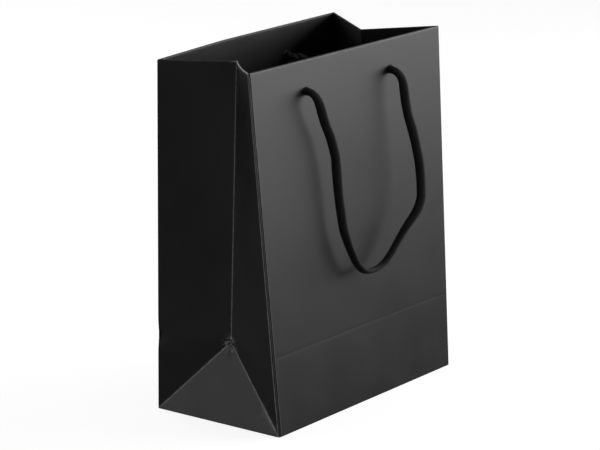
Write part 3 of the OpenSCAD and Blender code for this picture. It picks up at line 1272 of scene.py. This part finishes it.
        # Both ends on the flat blank, how pale, and how wide in millimetres
        table = [
            ((seam, 0.0), (seam, high), 0.72, 0.42),
            # Painted highlights: the front panel's cut edge and the score lines across the front
            # and back
            ((inset, 0.0), (inset, high), 0.16, 0.35),
            ((inset, low), (front_stop, low), 0.04, 0.40),
            ((blank.back_start, low), (blank.back_end, low), 0.05, 0.50),
            # Worn pale: the mouth edges here, and the folds, creases and foot diagonals below
            ((blank.left_crease, edge), (blank.seam_fold, edge), 1.00, 1.00),
            ((blank.back_end, edge), (blank.left_crease, edge), 0.12, 0.50),
            ((0.0, edge), (blank.front_end, edge), 0.16, 0.50),
            ((blank.front_end, edge), (blank.back_end, edge), 0.16, 0.50),
        ]
        for fold in (blank.front_end, blank.back_start, blank.back_end):
            table.append(((fold, 0.0), (fold, high), 0.14, 0.30))
        near, foot, wide_top = 3 * MM, 4 * MM, self.WIDE_SCUFF_TOP * low
        for crease in (blank.left_crease, blank.right_crease):
            table.append(((crease, low + 2 * MM), (crease, high), 0.42, 0.38))
            for side in (-1, 1):
                table.append(((crease + side * low, 0.0), (crease + side * near, low - near),
                              0.55, 0.45))
            table.append(((crease + low - foot, foot), (crease + low - wide_top, wide_top),
                          0.60, 0.90))
        return [PaleLine(start, end, strength, width * MM)
                for start, end, strength, width in table]

    def crumple(self, flat: np.ndarray) -> np.ndarray:
        """How crushed the paper is near the points of the foot triangles.

        Args:
            flat: Points of the flat blank.

        Returns:
            Amounts, from 0 to 1.
        """
        amount = np.zeros(len(flat))
        for crease in (self.blank.left_crease, self.blank.right_crease):
            middle = [crease, self.sizes.foot_height - self.CRUMPLE_DROP]
            away = np.linalg.norm(flat - middle, axis=1)
            for index in np.nonzero(away < self.CRUMPLE_REACH)[0]:
                spot = Vector((*flat[index], 0.0)) * self.CRUMPLE_SCALE
                ridge = 1 - abs(noise.noise(spot)) * 4
                fade = 1 - ease(away[index:index + 1], *self.CRUMPLE_FADE)[0]
                amount[index] = max(ridge, 0.0) * fade
        return amount

    def relief(self, flat: np.ndarray) -> np.ndarray:
        """How far the paper stands out from its true faces, by its own unevenness.

        Args:
            flat: Points of the flat blank.

        Returns:
            Distances along the outer normals.
        """
        blank, sizes = self.blank, self.sizes
        along = flat[:, 0]
        height, _ = blank.rows(np.maximum(flat[:, 1], 0.0))
        folds = np.array([0.0, blank.front_end, blank.right_crease, blank.back_start,
                          blank.back_end, blank.left_crease, blank.seam_fold, blank.end])
        index = np.clip(np.searchsorted(folds, along, side="right") - 1, 0, len(folds) - 2)
        span = folds[index + 1] - folds[index]
        share = (along - folds[index]) / span
        across = np.sin(math.pi * np.clip(share, 0, 1)) ** 0.7
        up = np.sin(math.pi * np.clip(height / (sizes.height - self.SWELL_END), 0, 1))
        wave = sum(share * np.sin(along * round_bag + height * up_paper)
                   for share, round_bag, up_paper in self.SWELL_WAVES)
        swell = self.SWELL * wave * across * np.maximum(up, 0.0)
        above = flat[:, 1] - sizes.foot_height
        pressed = -self.PRESSED * np.exp(-(above / self.PRESSED_WIDTH) ** 2)
        gusset, flap = np.isin(index, (1, 2, 4, 5)), index == len(folds) - 2
        swell = np.where(gusset, self.GUSSET_SWELL * swell + self.GUSSET_PRESSED * pressed,
                         swell + pressed * ~flap)
        wide, tall = self.NOTCH_SIZE
        notch = np.exp(-(above / tall) ** 2 - ((along - blank.back_end) / wide) ** 2)
        swell = (swell - self.NOTCH * notch) * (flat[:, 1] > 0) * ~flap
        return np.where(flat[:, 1] > blank.turn_from, 0.0, swell)

    def fold(self) -> None:
        """Fold the flat blank, and write its flat places and its wear and painted highlights for
        the finish.
        """
        flat = vertex_places(self.piece)[:, :2]
        write_uv(self.piece, flat + [0.0, self.sizes.flap])
        crumple = self.crumple(flat)
        wear = np.zeros(len(flat))
        for line in self.worn_lines():
            wear = np.maximum(wear, line.wear(flat))
        crushed = np.maximum(crumple - self.CRUMPLE_WEAR_FROM, 0.0) / (1 - self.CRUMPLE_WEAR_FROM)
        wear = np.clip(wear + self.CRUMPLE_WEAR * crushed, 0, 1)
        write_attribute(self.piece, "wear", wear)
        folded = self.blank.rounded(flat)
        lift = self.relief(flat) + self.CRUMPLE_HEIGHT * (crumple - 0.5 * (crumple > 0))
        folded += self.blank.normals(flat, folded) * lift[:, None]
        place_vertices(self.piece, folded)


# ---- Cards ----


@dataclass
class StiffenerCard:
    """A strip of card between a panel and its hem."""

    sizes: BagSizes
    side_y: SideY
    depth: float
    cell: float = 6 * MM
    top_gap: float = 1.2 * MM
    pressed_share: float = 0.9
    edge: float = 0.08 * MM

    def build(self) -> bpy.types.Object:
        """Cut the card to the hem's size and lay it behind its panel.

        Returns:
            The card's piece.
        """
        sizes = self.sizes
        inset = sizes.card_inset
        name = f"{self.side_y.name.lower()}_stiffener_card"
        card = add_grid(name, even_steps(inset, sizes.width - inset, self.cell),
                        even_steps(sizes.height - sizes.hem, sizes.height - self.top_gap,
                                   self.cell))
        flat = vertex_places(card)[:, :2]
        lines = FoldLines(sizes)
        share, height = flat[:, 0] / sizes.width, flat[:, 1]
        left = lines.corner(-1, self.side_y, height)
        right = lines.corner(1, self.side_y, height)
        normal = lines.wall_normal(self.side_y, share, height)
        depth = self.depth - lines.wall_bow(self.side_y, share, height)
        place_vertices(card, blend_rows(left, right, share) + normal * depth[:, None])
        apply_modifier(card, "SOLIDIFY", thickness=self.pressed_share * sizes.card,
                       offset=1.0 if self.side_y == SideY.BACK else -1.0)
        apply_modifier(card, "BEVEL", width=self.edge, segments=1, limit_method="ANGLE")
        smooth(card)
        return card


@dataclass
class BaseBoard:
    """The loose grey board on the bottom flaps, with rounded corners and a slight bow."""

    corner: float = 2.0 * MM
    bow: float = 0.35 * MM
    edge: float = 0.12 * MM
    strips: int = 12

    def build(self) -> bpy.types.Object:
        """Cut the board from a plate and bow it.

        Returns:
            The board's piece.
        """
        low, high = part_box("base_board")
        middle, size = (low + high) / 2, high - low
        deselect_all()
        bpy.ops.mesh.primitive_plane_add(size=1, location=(0, 0, 0))
        board = bpy.context.object
        board.name = "greyboard_base"
        place_vertices(board, vertex_places(board) * [size.x, size.y, 1.0])
        bpy.ops.object.mode_set(mode="EDIT")
        bpy.ops.mesh.select_all(action="SELECT")
        bpy.ops.mesh.bevel(offset=self.corner, segments=6, affect="VERTICES")
        for index in range(1, self.strips):
            share = index / self.strips - 0.5
            bpy.ops.mesh.select_all(action="SELECT")
            bpy.ops.mesh.bisect(plane_co=(share * size.x, 0, 0), plane_no=(1, 0, 0))
            bpy.ops.mesh.select_all(action="SELECT")
            bpy.ops.mesh.bisect(plane_co=(0, share * size.y, 0), plane_no=(0, 1, 0))
        deselect_all()
        places = vertex_places(board)
        sag = 1 - (2 * places[:, 0] / size.x) ** 2
        places[:, 2] = self.bow * sag
        place_vertices(board, places + [middle.x, middle.y, low.z])
        apply_modifier(board, "SOLIDIFY", thickness=size.z, offset=1.0)
        apply_modifier(board, "BEVEL", width=self.edge, segments=2, limit_method="ANGLE")
        smooth(board)
        return board


# ---- Rope ----


@dataclass(frozen=True)
class HandleFrame:
    """A handle's own axes: across its holes, out of the bag, and up."""

    middle: Vector
    across: Vector
    out: Vector

    PIVOT_OUT = 6 * MM

    @classmethod
    def from_joint(cls, name: str) -> "HandleFrame":
        """Work the axes out from the handle's own joint in the frame.

        Args:
            name: The joint's name.

        Returns:
            The frame at the middle between the two holes, on the panel's outer face.
        """
        joint = next(item for item in frame["joints"] if item["name"] == name)
        across = -Vector(joint["axis"]).normalized()
        out = across.cross(Vector((0, 0, 1))).normalized()
        return cls(Vector(joint["pos_m"]) - out * cls.PIVOT_OUT, across, out)

    def place(self, across: float, out: float, up: float) -> Vector:
        """A point given along the handle's axes, in the bag's frame."""
        return self.middle + self.across * across + self.out * out + Vector((0, 0, up))


def resample(points: np.ndarray, step: float, softness: float) -> np.ndarray:
    """Turn a short route into a close, smooth line.

    Args:
        points: The route's points, in order.
        step: Distance between the line's points.
        softness: How far along the line its corners are eased.

    Returns:
        Evenly spaced points that start and end where the route does.
    """
    lengths = np.concatenate([[0], np.cumsum(np.linalg.norm(np.diff(points, axis=0), axis=1))])
    places = np.linspace(0, lengths[-1], max(8, round(lengths[-1] / step)))
    line = np.column_stack([np.interp(places, lengths, points[:, i]) for i in range(3)])
    reach = max(1, round(3 * softness / step))
    weights = np.exp(-0.5 * (np.arange(-reach, reach + 1) * step / softness) ** 2)
    weights /= weights.sum()
    head = 2 * line[0] - line[reach:0:-1]
    tail = 2 * line[-1] - line[-2:-reach - 2:-1]
    padded = np.concatenate([head, line, tail])
    return np.column_stack([np.convolve(padded[:, i], weights, "valid") for i in range(3)])


def line_length(points: np.ndarray) -> float:
    """The length of a line through points."""
    return float(np.linalg.norm(np.diff(points, axis=0), axis=1).sum())


@dataclass(frozen=True)
class Braid:
    """The cord's braid: strands that pass over and under each other round a core."""

    diameter: float = 5 * MM
    strands: int = 8
    pitch: float = 13 * MM
    relief: float = 0.42 * MM
    sides: int = 48
    step: float = 0.33 * MM

    def surface(self, turn: np.ndarray, along: np.ndarray) -> np.ndarray:
        """Height of the braid's surface, from 0 in its gaps to 1 on its crowns.

        Args:
            turn: Shares of a turn round the cord.
            along: Distances along it.

        Returns:
            The heights.
        """
        first = self.strands * (turn + along / self.pitch)
        second = self.strands * (turn - along / self.pitch)
        over = (np.floor(first) + np.floor(second)) % 2 < 0.5
        width = np.where(over, first % 1, second % 1) * 2 - 1
        length = np.where(over, second % 1, first % 1) * 2 - 1
        return np.sqrt(np.clip(1 - width ** 2, 0, 1)) * (1 - 0.75 * length ** 4)

    def sweep(self, name: str, line: np.ndarray, scale: np.ndarray,
              broad: np.ndarray | None = None,
              flatness: np.ndarray | float = 0.0) -> bpy.types.Object:
        """Roll a grid up into a braided cord along a line.

        Args:
            name: The piece's name.
            line: The cord's centreline, evenly spaced.
            scale: The cord's thickness at each point of the line, as a share.
            broad: The way the flattened cord's broad side runs, at each point.
            flatness: By what share the broad side is wider than a round cord.

        Returns:
            The cord's piece, closed at both ends.
        """
        heading = unit(np.gradient(line, axis=0))
        if broad is None:
            side = unit(np.cross(heading[0], [0.3, 0.5, 0.8]))
            sides = []
            for ahead in heading:
                side = unit(side - ahead * (side @ ahead))
                sides.append(side)
            side = np.array(sides)
        else:
            side = unit(broad - heading * np.sum(broad * heading, axis=1, keepdims=True))
        over = np.cross(heading, side)
        distance = np.concatenate([[0], np.cumsum(np.linalg.norm(np.diff(line, axis=0), axis=1))])
        turns = np.linspace(0, 1, self.sides + 1)
        cord = add_grid(name, turns, distance)
        turn, along = np.meshgrid(turns, distance)
        crown = self.surface(turn, along)
        radius = (self.diameter / 2 - self.relief * (1 - crown)) * scale[:, None]
        angle = 2 * math.pi * turn
        spread = np.broadcast_to(flatness, len(line))[:, None]
        wide = radius * np.cos(angle) * (1 + spread)
        thin = radius * np.sin(angle) * (1 - spread)
        places = line[:, None] + side[:, None] * wide[..., None] + over[:, None] * thin[..., None]
        write_uv(cord, np.column_stack([(turn * math.pi * self.diameter).ravel(),
                                        along.ravel()]))
        write_attribute(cord, "crown", crown.ravel())
        place_vertices(cord, places.reshape(-1, 3))
        self.close(cord)
        return cord

    def close(self, cord: bpy.types.Object) -> None:
        """Join a rolled grid's seam, cap its ends and turn its faces outwards.

        Args:
            cord: The cord's piece, still an open tube.
        """
        make_active(cord)
        bpy.ops.object.mode_set(mode="EDIT")
        bpy.ops.mesh.select_mode(type="VERT")
        bpy.ops.mesh.select_all(action="SELECT")
        bpy.ops.mesh.remove_doubles(threshold=SLACK)
        bpy.ops.mesh.select_all(action="DESELECT")
        bpy.ops.mesh.select_non_manifold(extend=False)
        bpy.ops.mesh.fill()
        bpy.ops.mesh.select_all(action="SELECT")
        bpy.ops.mesh.normals_make_consistent(inside=False)
        deselect_all()
        smooth(cord, 80.0)


@dataclass
class RopeHandle:
    """One rope loop, from a knot through its hole and back to the other knot."""

    side_y: SideY
    braid: Braid
    axes: HandleFrame

    # The route, in millimetres, from the handle's left hole to its right one: across,
    # out from the panel, and up, from the middle between the holes
    ROUTE = (
        (-40, 0, 0), (-40, 4, 0), (-40, 8, -2), (-40, 11, -6), (-39, 12, -12),
        (-36, 12, -20), (-31, 12, -30), (-28, 13, -42), (-27, 13, -54), (-26, 13, -66),
        (-25, 14, -78), (-24, 15, -90), (-20, 16, -102), (-15, 17, -113), (-10, 18, -119),
        (-4, 18, -121), (4, 18, -121), (11, 18, -119), (18, 18, -114), (25, 18, -107),
        (31, 19, -100), (37, 21, -93), (41, 22, -88), (44, 22, -82), (45, 21, -72),
        (45, 20, -60), (44, 18, -48), (43, 16, -38), (41, 14, -28), (40, 13, -20),
        (40, 12, -12), (40, 11, -6), (40, 8, -2), (40, 4, 0), (40, 0, 0))
    INSIDE = 3.5
    SOFTNESS = 1.9 * MM
    # Waves along the rope by which its thickness is uneven, and by how much
    WAVES = (3, 5, 8, 13)
    UNEVEN = 0.018
    # The cord is soft and worn flat: its broad side turns between the legs and the bottom
    FLATNESS = 0.26
    LEG_BROAD = (0.63, 0.78, 0.0)
    LOW_BROAD = (0.0, 1.0, 0.25)
    TURN_ROWS = (84.0, 104.0)
    ROUND_ENDS = (0.02, 0.08)
    # Where the bend at a hole starts and ends: out and up
    BEND_START = (2 * MM, 0.0)
    BEND_END = (11 * MM, -8 * MM)

    @property
    def name(self) -> str:
        """The side's name, front or back."""
        return self.side_y.name.lower()

    def direction(self, way: tuple[float, float, float]) -> np.ndarray:
        """Turn a direction, given along the handle's axes, into the bag's frame."""
        return np.array(self.axes.place(*way) - self.axes.place(0, 0, 0))

    def seed(self) -> int:
        """The seed of the rope's unevenness."""
        return 7 if self.side_y == SideY.FRONT else 11

    def line(self, inside: float) -> np.ndarray:
        """The rope's smooth centreline.

        Args:
            inside: How far past each hole's outer face it goes, in millimetres.

        Returns:
            Close points in the bag's frame.
        """
        route = list(self.ROUTE)
        if inside:
            route = [(route[0][0], -inside, 0), *route, (route[-1][0], -inside, 0)]
        points = [self.axes.place(*(part * MM for part in point)) for point in route]
        return resample(np.array(points), self.braid.step, self.SOFTNESS)

    def build(self) -> bpy.types.Object:
        """Make the rope and hide the frame's own rope parts.

        Returns:
            The rope's piece.
        """
        line = self.line(self.INSIDE)
        rng = np.random.default_rng(self.seed())
        along = np.linspace(0, 1, len(line))
        uneven = sum(rng.uniform(-1, 1) * np.sin(2 * math.pi * (count * along + rng.uniform()))
                     for count in self.WAVES)
        down = (self.axes.middle.z - line[:, 2]) / MM
        leg, low = self.direction(self.LEG_BROAD), self.direction(self.LOW_BROAD)
        broad = blend_rows(leg, low, ease(down, *self.TURN_ROWS))
        flatness = self.FLATNESS * np.minimum(ease(along, *self.ROUND_ENDS),
                                              ease(1 - along, *self.ROUND_ENDS))
        rope = self.braid.sweep(f"{self.name}_handle_rope", line, 1 + self.UNEVEN * uneven,
                                broad, flatness)
        stands = (f"{self.name}_rope_bend_left", f"{self.name}_rope_bend_right",
                  f"{self.name}_rope_loop")
        Body[f"{self.side_y.name}_HANDLE"].value
        self.axes.place(0, *self.BEND_START)
        self.axes.place(0, *self.BEND_END)
        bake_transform(rope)
        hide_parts(*stands)
        tuple(self.axes.place(self.ROUTE[0][0] * MM, 0, 0))
        return rope


@dataclass
class OverhandKnot:
    """A pulled overhand knot behind the hem, with the rope's short tail."""

    handle: RopeHandle
    side: int
    depth: float
    reach: float = 1.55 * MM
    rise: float = 1.8 * MM
    squeeze: float = 0.74
    tail: float = 14 * MM
    droop: float = math.radians(25)
    sag: float = 2.2 * MM
    half_spacing: float = 40 * MM
    behind_hem: float = 6.2 * MM
    # Half the turn, in radians, that the knot's curve is left open by
    opening: float = 0.62
    curve_points: int = 60
    # Points of the rope in its hole, and of its tail, along its way in
    hole_places: tuple[float, ...] = (-3.0, -1.5, 0.0, 1.2)
    tail_places: tuple[float, ...] = (4.0, 8.0)
    tail_start: tuple[float, float] = (5.5, 0.5)
    softness: float = 1.1 * MM
    # Shares of the knot's line over which the squeeze sets in and lets go
    squeeze_ends: tuple[float, float] = (0.12, 0.22)
    tip_length: float = 1.2 * MM
    tip_taper: float = 0.55

    @property
    def hand(self) -> str:
        """The knot's side, seen from the bag's front."""
        return "left" if self.side * -self.handle.side_y < 0 else "right"

    def build(self) -> bpy.types.Object:
        """Lead the rope through its hole, round the knot and down its tail.

        Returns:
            The knot's piece.
        """
        middle = self.depth + self.behind_hem
        across = self.side * self.half_spacing
        turns = np.linspace(math.pi + self.opening, 3 * math.pi - self.opening,
                            self.curve_points)
        into = self.reach * (np.sin(turns) + 2 * np.sin(2 * turns))
        up = -self.reach * (np.cos(turns) - 2 * np.cos(2 * turns))
        aside = -self.rise * np.sin(3 * turns)
        if into[0] > into[-1]:
            into = -into
        loop = [(across + s, -(middle + i), u - self.sag) for i, u, s in zip(into, up, aside)]
        start = [(across, -part * MM, 0.0) for part in self.hole_places]
        out, up = (part * MM for part in self.tail_start)
        drop = [(across, -(middle + out + part * math.cos(self.droop)),
                 up - part * math.sin(self.droop))
                for part in (*(part * MM for part in self.tail_places), self.tail)]
        points = [self.handle.axes.place(*point) for point in start + loop + drop]
        braid = self.handle.braid
        line = resample(np.array(points), braid.step, self.softness)
        share = np.linspace(0, 1, len(line))
        first, last = self.squeeze_ends
        inside = np.clip(np.minimum(share / first, (1 - share) / last), 0, 1)
        tip = ease(share, 1 - self.tip_length / line_length(line), 1.0)
        thick = (1 - (1 - self.squeeze) * inside) * (1 - self.tip_taper * tip ** 2)
        knot = braid.sweep(f"{self.handle.name}_overhand_knot_{self.hand}", line, thick)
        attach(knot, Body.BAG.value)
        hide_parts(f"{self.handle.name}_knot_{self.hand}")
        return knot


# ---- Studio ----


@dataclass(frozen=True)
class SoftBox:
    """A rectangular studio light that faces a point."""

    name: str
    place: tuple[float, float, float]
    aim: tuple[float, float, float]
    size: tuple[float, float]
    power: float

    def build(self) -> bpy.types.Object:
        """Add the light.

        Returns:
            The light's object.
        """
        deselect_all()
        bpy.ops.object.light_add(type="AREA", location=self.place)
        light = bpy.context.object
        light.name = self.name
        light.data.shape = "RECTANGLE"
        light.data.size, light.data.size_y = self.size
        light.data.energy = self.power
        light.rotation_euler = (Vector(self.aim) - Vector(self.place)).to_track_quat(
            "-Z", "Y").to_euler()
        light.visible_camera = False
        return light


@dataclass
class Studio:
    """The camera, the floor, the world and the lights round the bag."""

    azimuth: float = -51.21
    elevation: float = 15.02
    roll: float = -1.20
    distance: float = 1.8975
    focal: float = 176.6
    aim: tuple[float, float, float] = (0.0, 0.0, 0.115)
    shift: tuple[float, float] = (-0.0047, -0.0142)
    sensor: float = 36.0
    clip: tuple[float, float] = (0.05, 50.0)
    floor_size: float = 9.0
    floor_seen: float = 0.34
    floor_glow: float = 0.86
    floor_unseen: float = 0.25
    world_seen: float = 1.0
    world_unseen: float = 0.05

    def add_camera(self) -> bpy.types.Object:
        """Add the camera, turned and placed by angles round the bag.

        Returns:
            The camera.
        """
        turn, lift = math.radians(self.azimuth), math.radians(self.elevation)
        back = Vector((math.sin(turn) * math.cos(lift), -math.cos(turn) * math.cos(lift),
                       math.sin(lift)))
        right = Vector((math.cos(turn), math.sin(turn), 0.0))
        up = back.cross(right)
        tilt = math.radians(self.roll)
        across = right * math.cos(tilt) + up * math.sin(tilt)
        above = up * math.cos(tilt) - right * math.sin(tilt)
        deselect_all()
        bpy.ops.object.camera_add()
        camera = bpy.context.object
        camera.name = "studio_camera"
        turned = Matrix((across, above, back)).transposed().to_4x4()
        camera.matrix_world = Matrix.Translation(Vector(self.aim) + back * self.distance) @ turned
        camera.data.lens = self.focal
        camera.data.sensor_width = self.sensor
        camera.data.shift_x, camera.data.shift_y = self.shift
        camera.data.clip_start, camera.data.clip_end = self.clip
        bpy.context.scene.camera = camera
        return camera

    def add_floor(self) -> bpy.types.Object:
        """Add the pale floor, which looks white and keeps the bag's shadow.

        Returns:
            The floor.
        """
        deselect_all()
        bpy.ops.mesh.primitive_grid_add(x_subdivisions=2, y_subdivisions=2,
                                        size=self.floor_size)
        floor = bpy.context.object
        floor.name = "studio_floor"
        board = NodeBoard("pale_floor")
        board.nodes.remove(board.shader)
        seen = board.add("ShaderNodeLightPath")
        lit = board.add("ShaderNodeBsdfDiffuse", Color=(*[self.floor_seen] * 3, 1.0))
        glow = board.add("ShaderNodeEmission", Color=(1.0, 1.0, 1.0, 1.0),
                         Strength=self.floor_glow)
        both = board.add("ShaderNodeAddShader")
        plain = board.add("ShaderNodeBsdfDiffuse", Color=(*[self.floor_unseen] * 3, 1.0))
        pick = board.add("ShaderNodeMixShader")
        board.link(lit.outputs[0], both.inputs[0])
        board.link(glow.outputs[0], both.inputs[1])
        board.link(seen.outputs["Is Camera Ray"], pick.inputs[0])
        board.link(plain.outputs[0], pick.inputs[1])
        board.link(both.outputs[0], pick.inputs[2])
        board.link(pick.outputs[0], board.output.inputs["Surface"])
        dress(floor, board.material)
        return floor

    def set_world(self) -> None:
        """Make the backdrop white to the camera and a dim grey to the bag."""
        world = bpy.data.worlds.new("studio_world")
        world.use_nodes = True
        bpy.context.scene.world = world
        nodes, links = world.node_tree.nodes, world.node_tree.links
        background = nodes["Background"]
        path = nodes.new("ShaderNodeLightPath")
        level = nodes.new("ShaderNodeMapRange")
        level.inputs["To Min"].default_value = self.world_unseen
        level.inputs["To Max"].default_value = self.world_seen
        background.inputs["Color"].default_value = (1.0, 1.0, 1.0, 1.0)
        links.new(path.outputs["Is Camera Ray"], level.inputs[0])
        links.new(level.outputs[0], background.inputs["Strength"])

    def add_lights(self) -> None:
        """Add the soft lights: a low key on the front's right, a top light and fills."""
        for box in (
            SoftBox("key_light", (0.80, -0.67, 0.36), (0.0, 0.0, 0.12), (1.2, 0.6), 11.6),
            SoftBox("left_light", (-1.15, 0.88, 0.35), (0.0, 0.0, 0.10), (1.0, 0.8), 3.6),
            SoftBox("left_fill", (-1.3, -0.75, 0.30), (0.0, 0.0, 0.08), (0.9, 0.5), 0.7),
            SoftBox("top_light", (0.0, 0.1, 1.6), (0.0, 0.0, 0.1), (1.2, 1.2), 4.0),
            SoftBox("back_fill", (0.2, 1.5, 0.8), (0.0, 0.0, 0.12), (1.0, 0.8), 6.0),
        ):
            box.build()


def clear_start_objects() -> None:
    """Remove what a new file holds, apart from the frame's own objects."""
    kept = set(frame["nodes"].values()) | set(frame["bodies"].values())
    for item in list(bpy.data.objects):
        if item not in kept:
            bpy.data.objects.remove(item)


PAPER_NODES = (
    "front_panel", "back_panel", "left_gusset_front_leaf", "left_gusset_rear_leaf",
    "left_foot_triangle", "right_gusset_front_leaf", "right_gusset_rear_leaf",
    "right_foot_triangle", "side_seam_flap", "front_hem", "back_hem",
    "left_gusset_front_hem", "left_gusset_rear_hem", "right_gusset_front_hem",
    "right_gusset_rear_hem", "front_bottom_flap", "back_bottom_flap", "left_bottom_flap",
    "right_bottom_flap")


def finish_piece(piece: bpy.types.Object, *materials: bpy.types.Material) -> None:
    """Dress a piece and log its name and size."""
    dress(piece, *materials)
    LOG.info("%s: %d faces", piece.name, len(piece.data.polygons))


def build_handles() -> None:
    """Make both ropes and their four knots."""
    cord = BraidFinish().make()
    for side_y, depth in ((SideY.FRONT, FoldedBlank.HEM_DEPTH_FRONT),
                          (SideY.BACK, FoldedBlank.HEM_DEPTH_BACK)):
        axes = HandleFrame.from_joint(f"{side_y.name.lower()}_handle_swing")
        handle = RopeHandle(side_y, Braid(), axes)
        finish_piece(handle.build(), cord)
        for side in (SideX.LEFT, SideX.RIGHT):
            finish_piece(OverhandKnot(handle, side, depth).build(), cord)


def build_paper(sizes: BagSizes) -> None:
    """Fold the bag's paper.

    Args:
        sizes: The bag's sizes.
    """
    paper = PaperBag(sizes).build()
    finish_piece(paper, LaminateFinish().make(), LINING.make(), CUT_EDGE.make())
    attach(paper, Body.BAG.value)
    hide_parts(*PAPER_NODES)


def build_cards(sizes: BagSizes) -> None:
    """Make the two stiffener cards and the loose base board.

    Args:
        sizes: The bag's sizes.
    """
    card = GreyBoardFinish().make()
    for side_y, depth in ((SideY.FRONT, 2 * sizes.seam_depth), (SideY.BACK, sizes.seam_depth)):
        stiffener = StiffenerCard(sizes, side_y, depth).build()
        finish_piece(stiffener, card)
        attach(stiffener, Body.BAG.value)
        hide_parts(f"{side_y.name.lower()}_stiffener")
    board = BaseBoard().build()
    finish_piece(board, card)
    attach(board, Body.BASE_BOARD.value)
    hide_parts("base_board")


def main() -> None:
    """Build the bag's pieces in order, dress them, and set the studio."""
    logging.basicConfig(level=logging.INFO, format="%(message)s")
    bpy.context.scene.view_settings.view_transform = "Standard"
    clear_start_objects()
    studio = Studio()
    studio.add_camera()
    sizes = BagSizes()
    build_handles()
    build_paper(sizes)
    build_cards(sizes)
    studio.add_floor()
    studio.set_world()
    studio.add_lights()
    deselect_all()


if __name__ == "__main__":
    main()
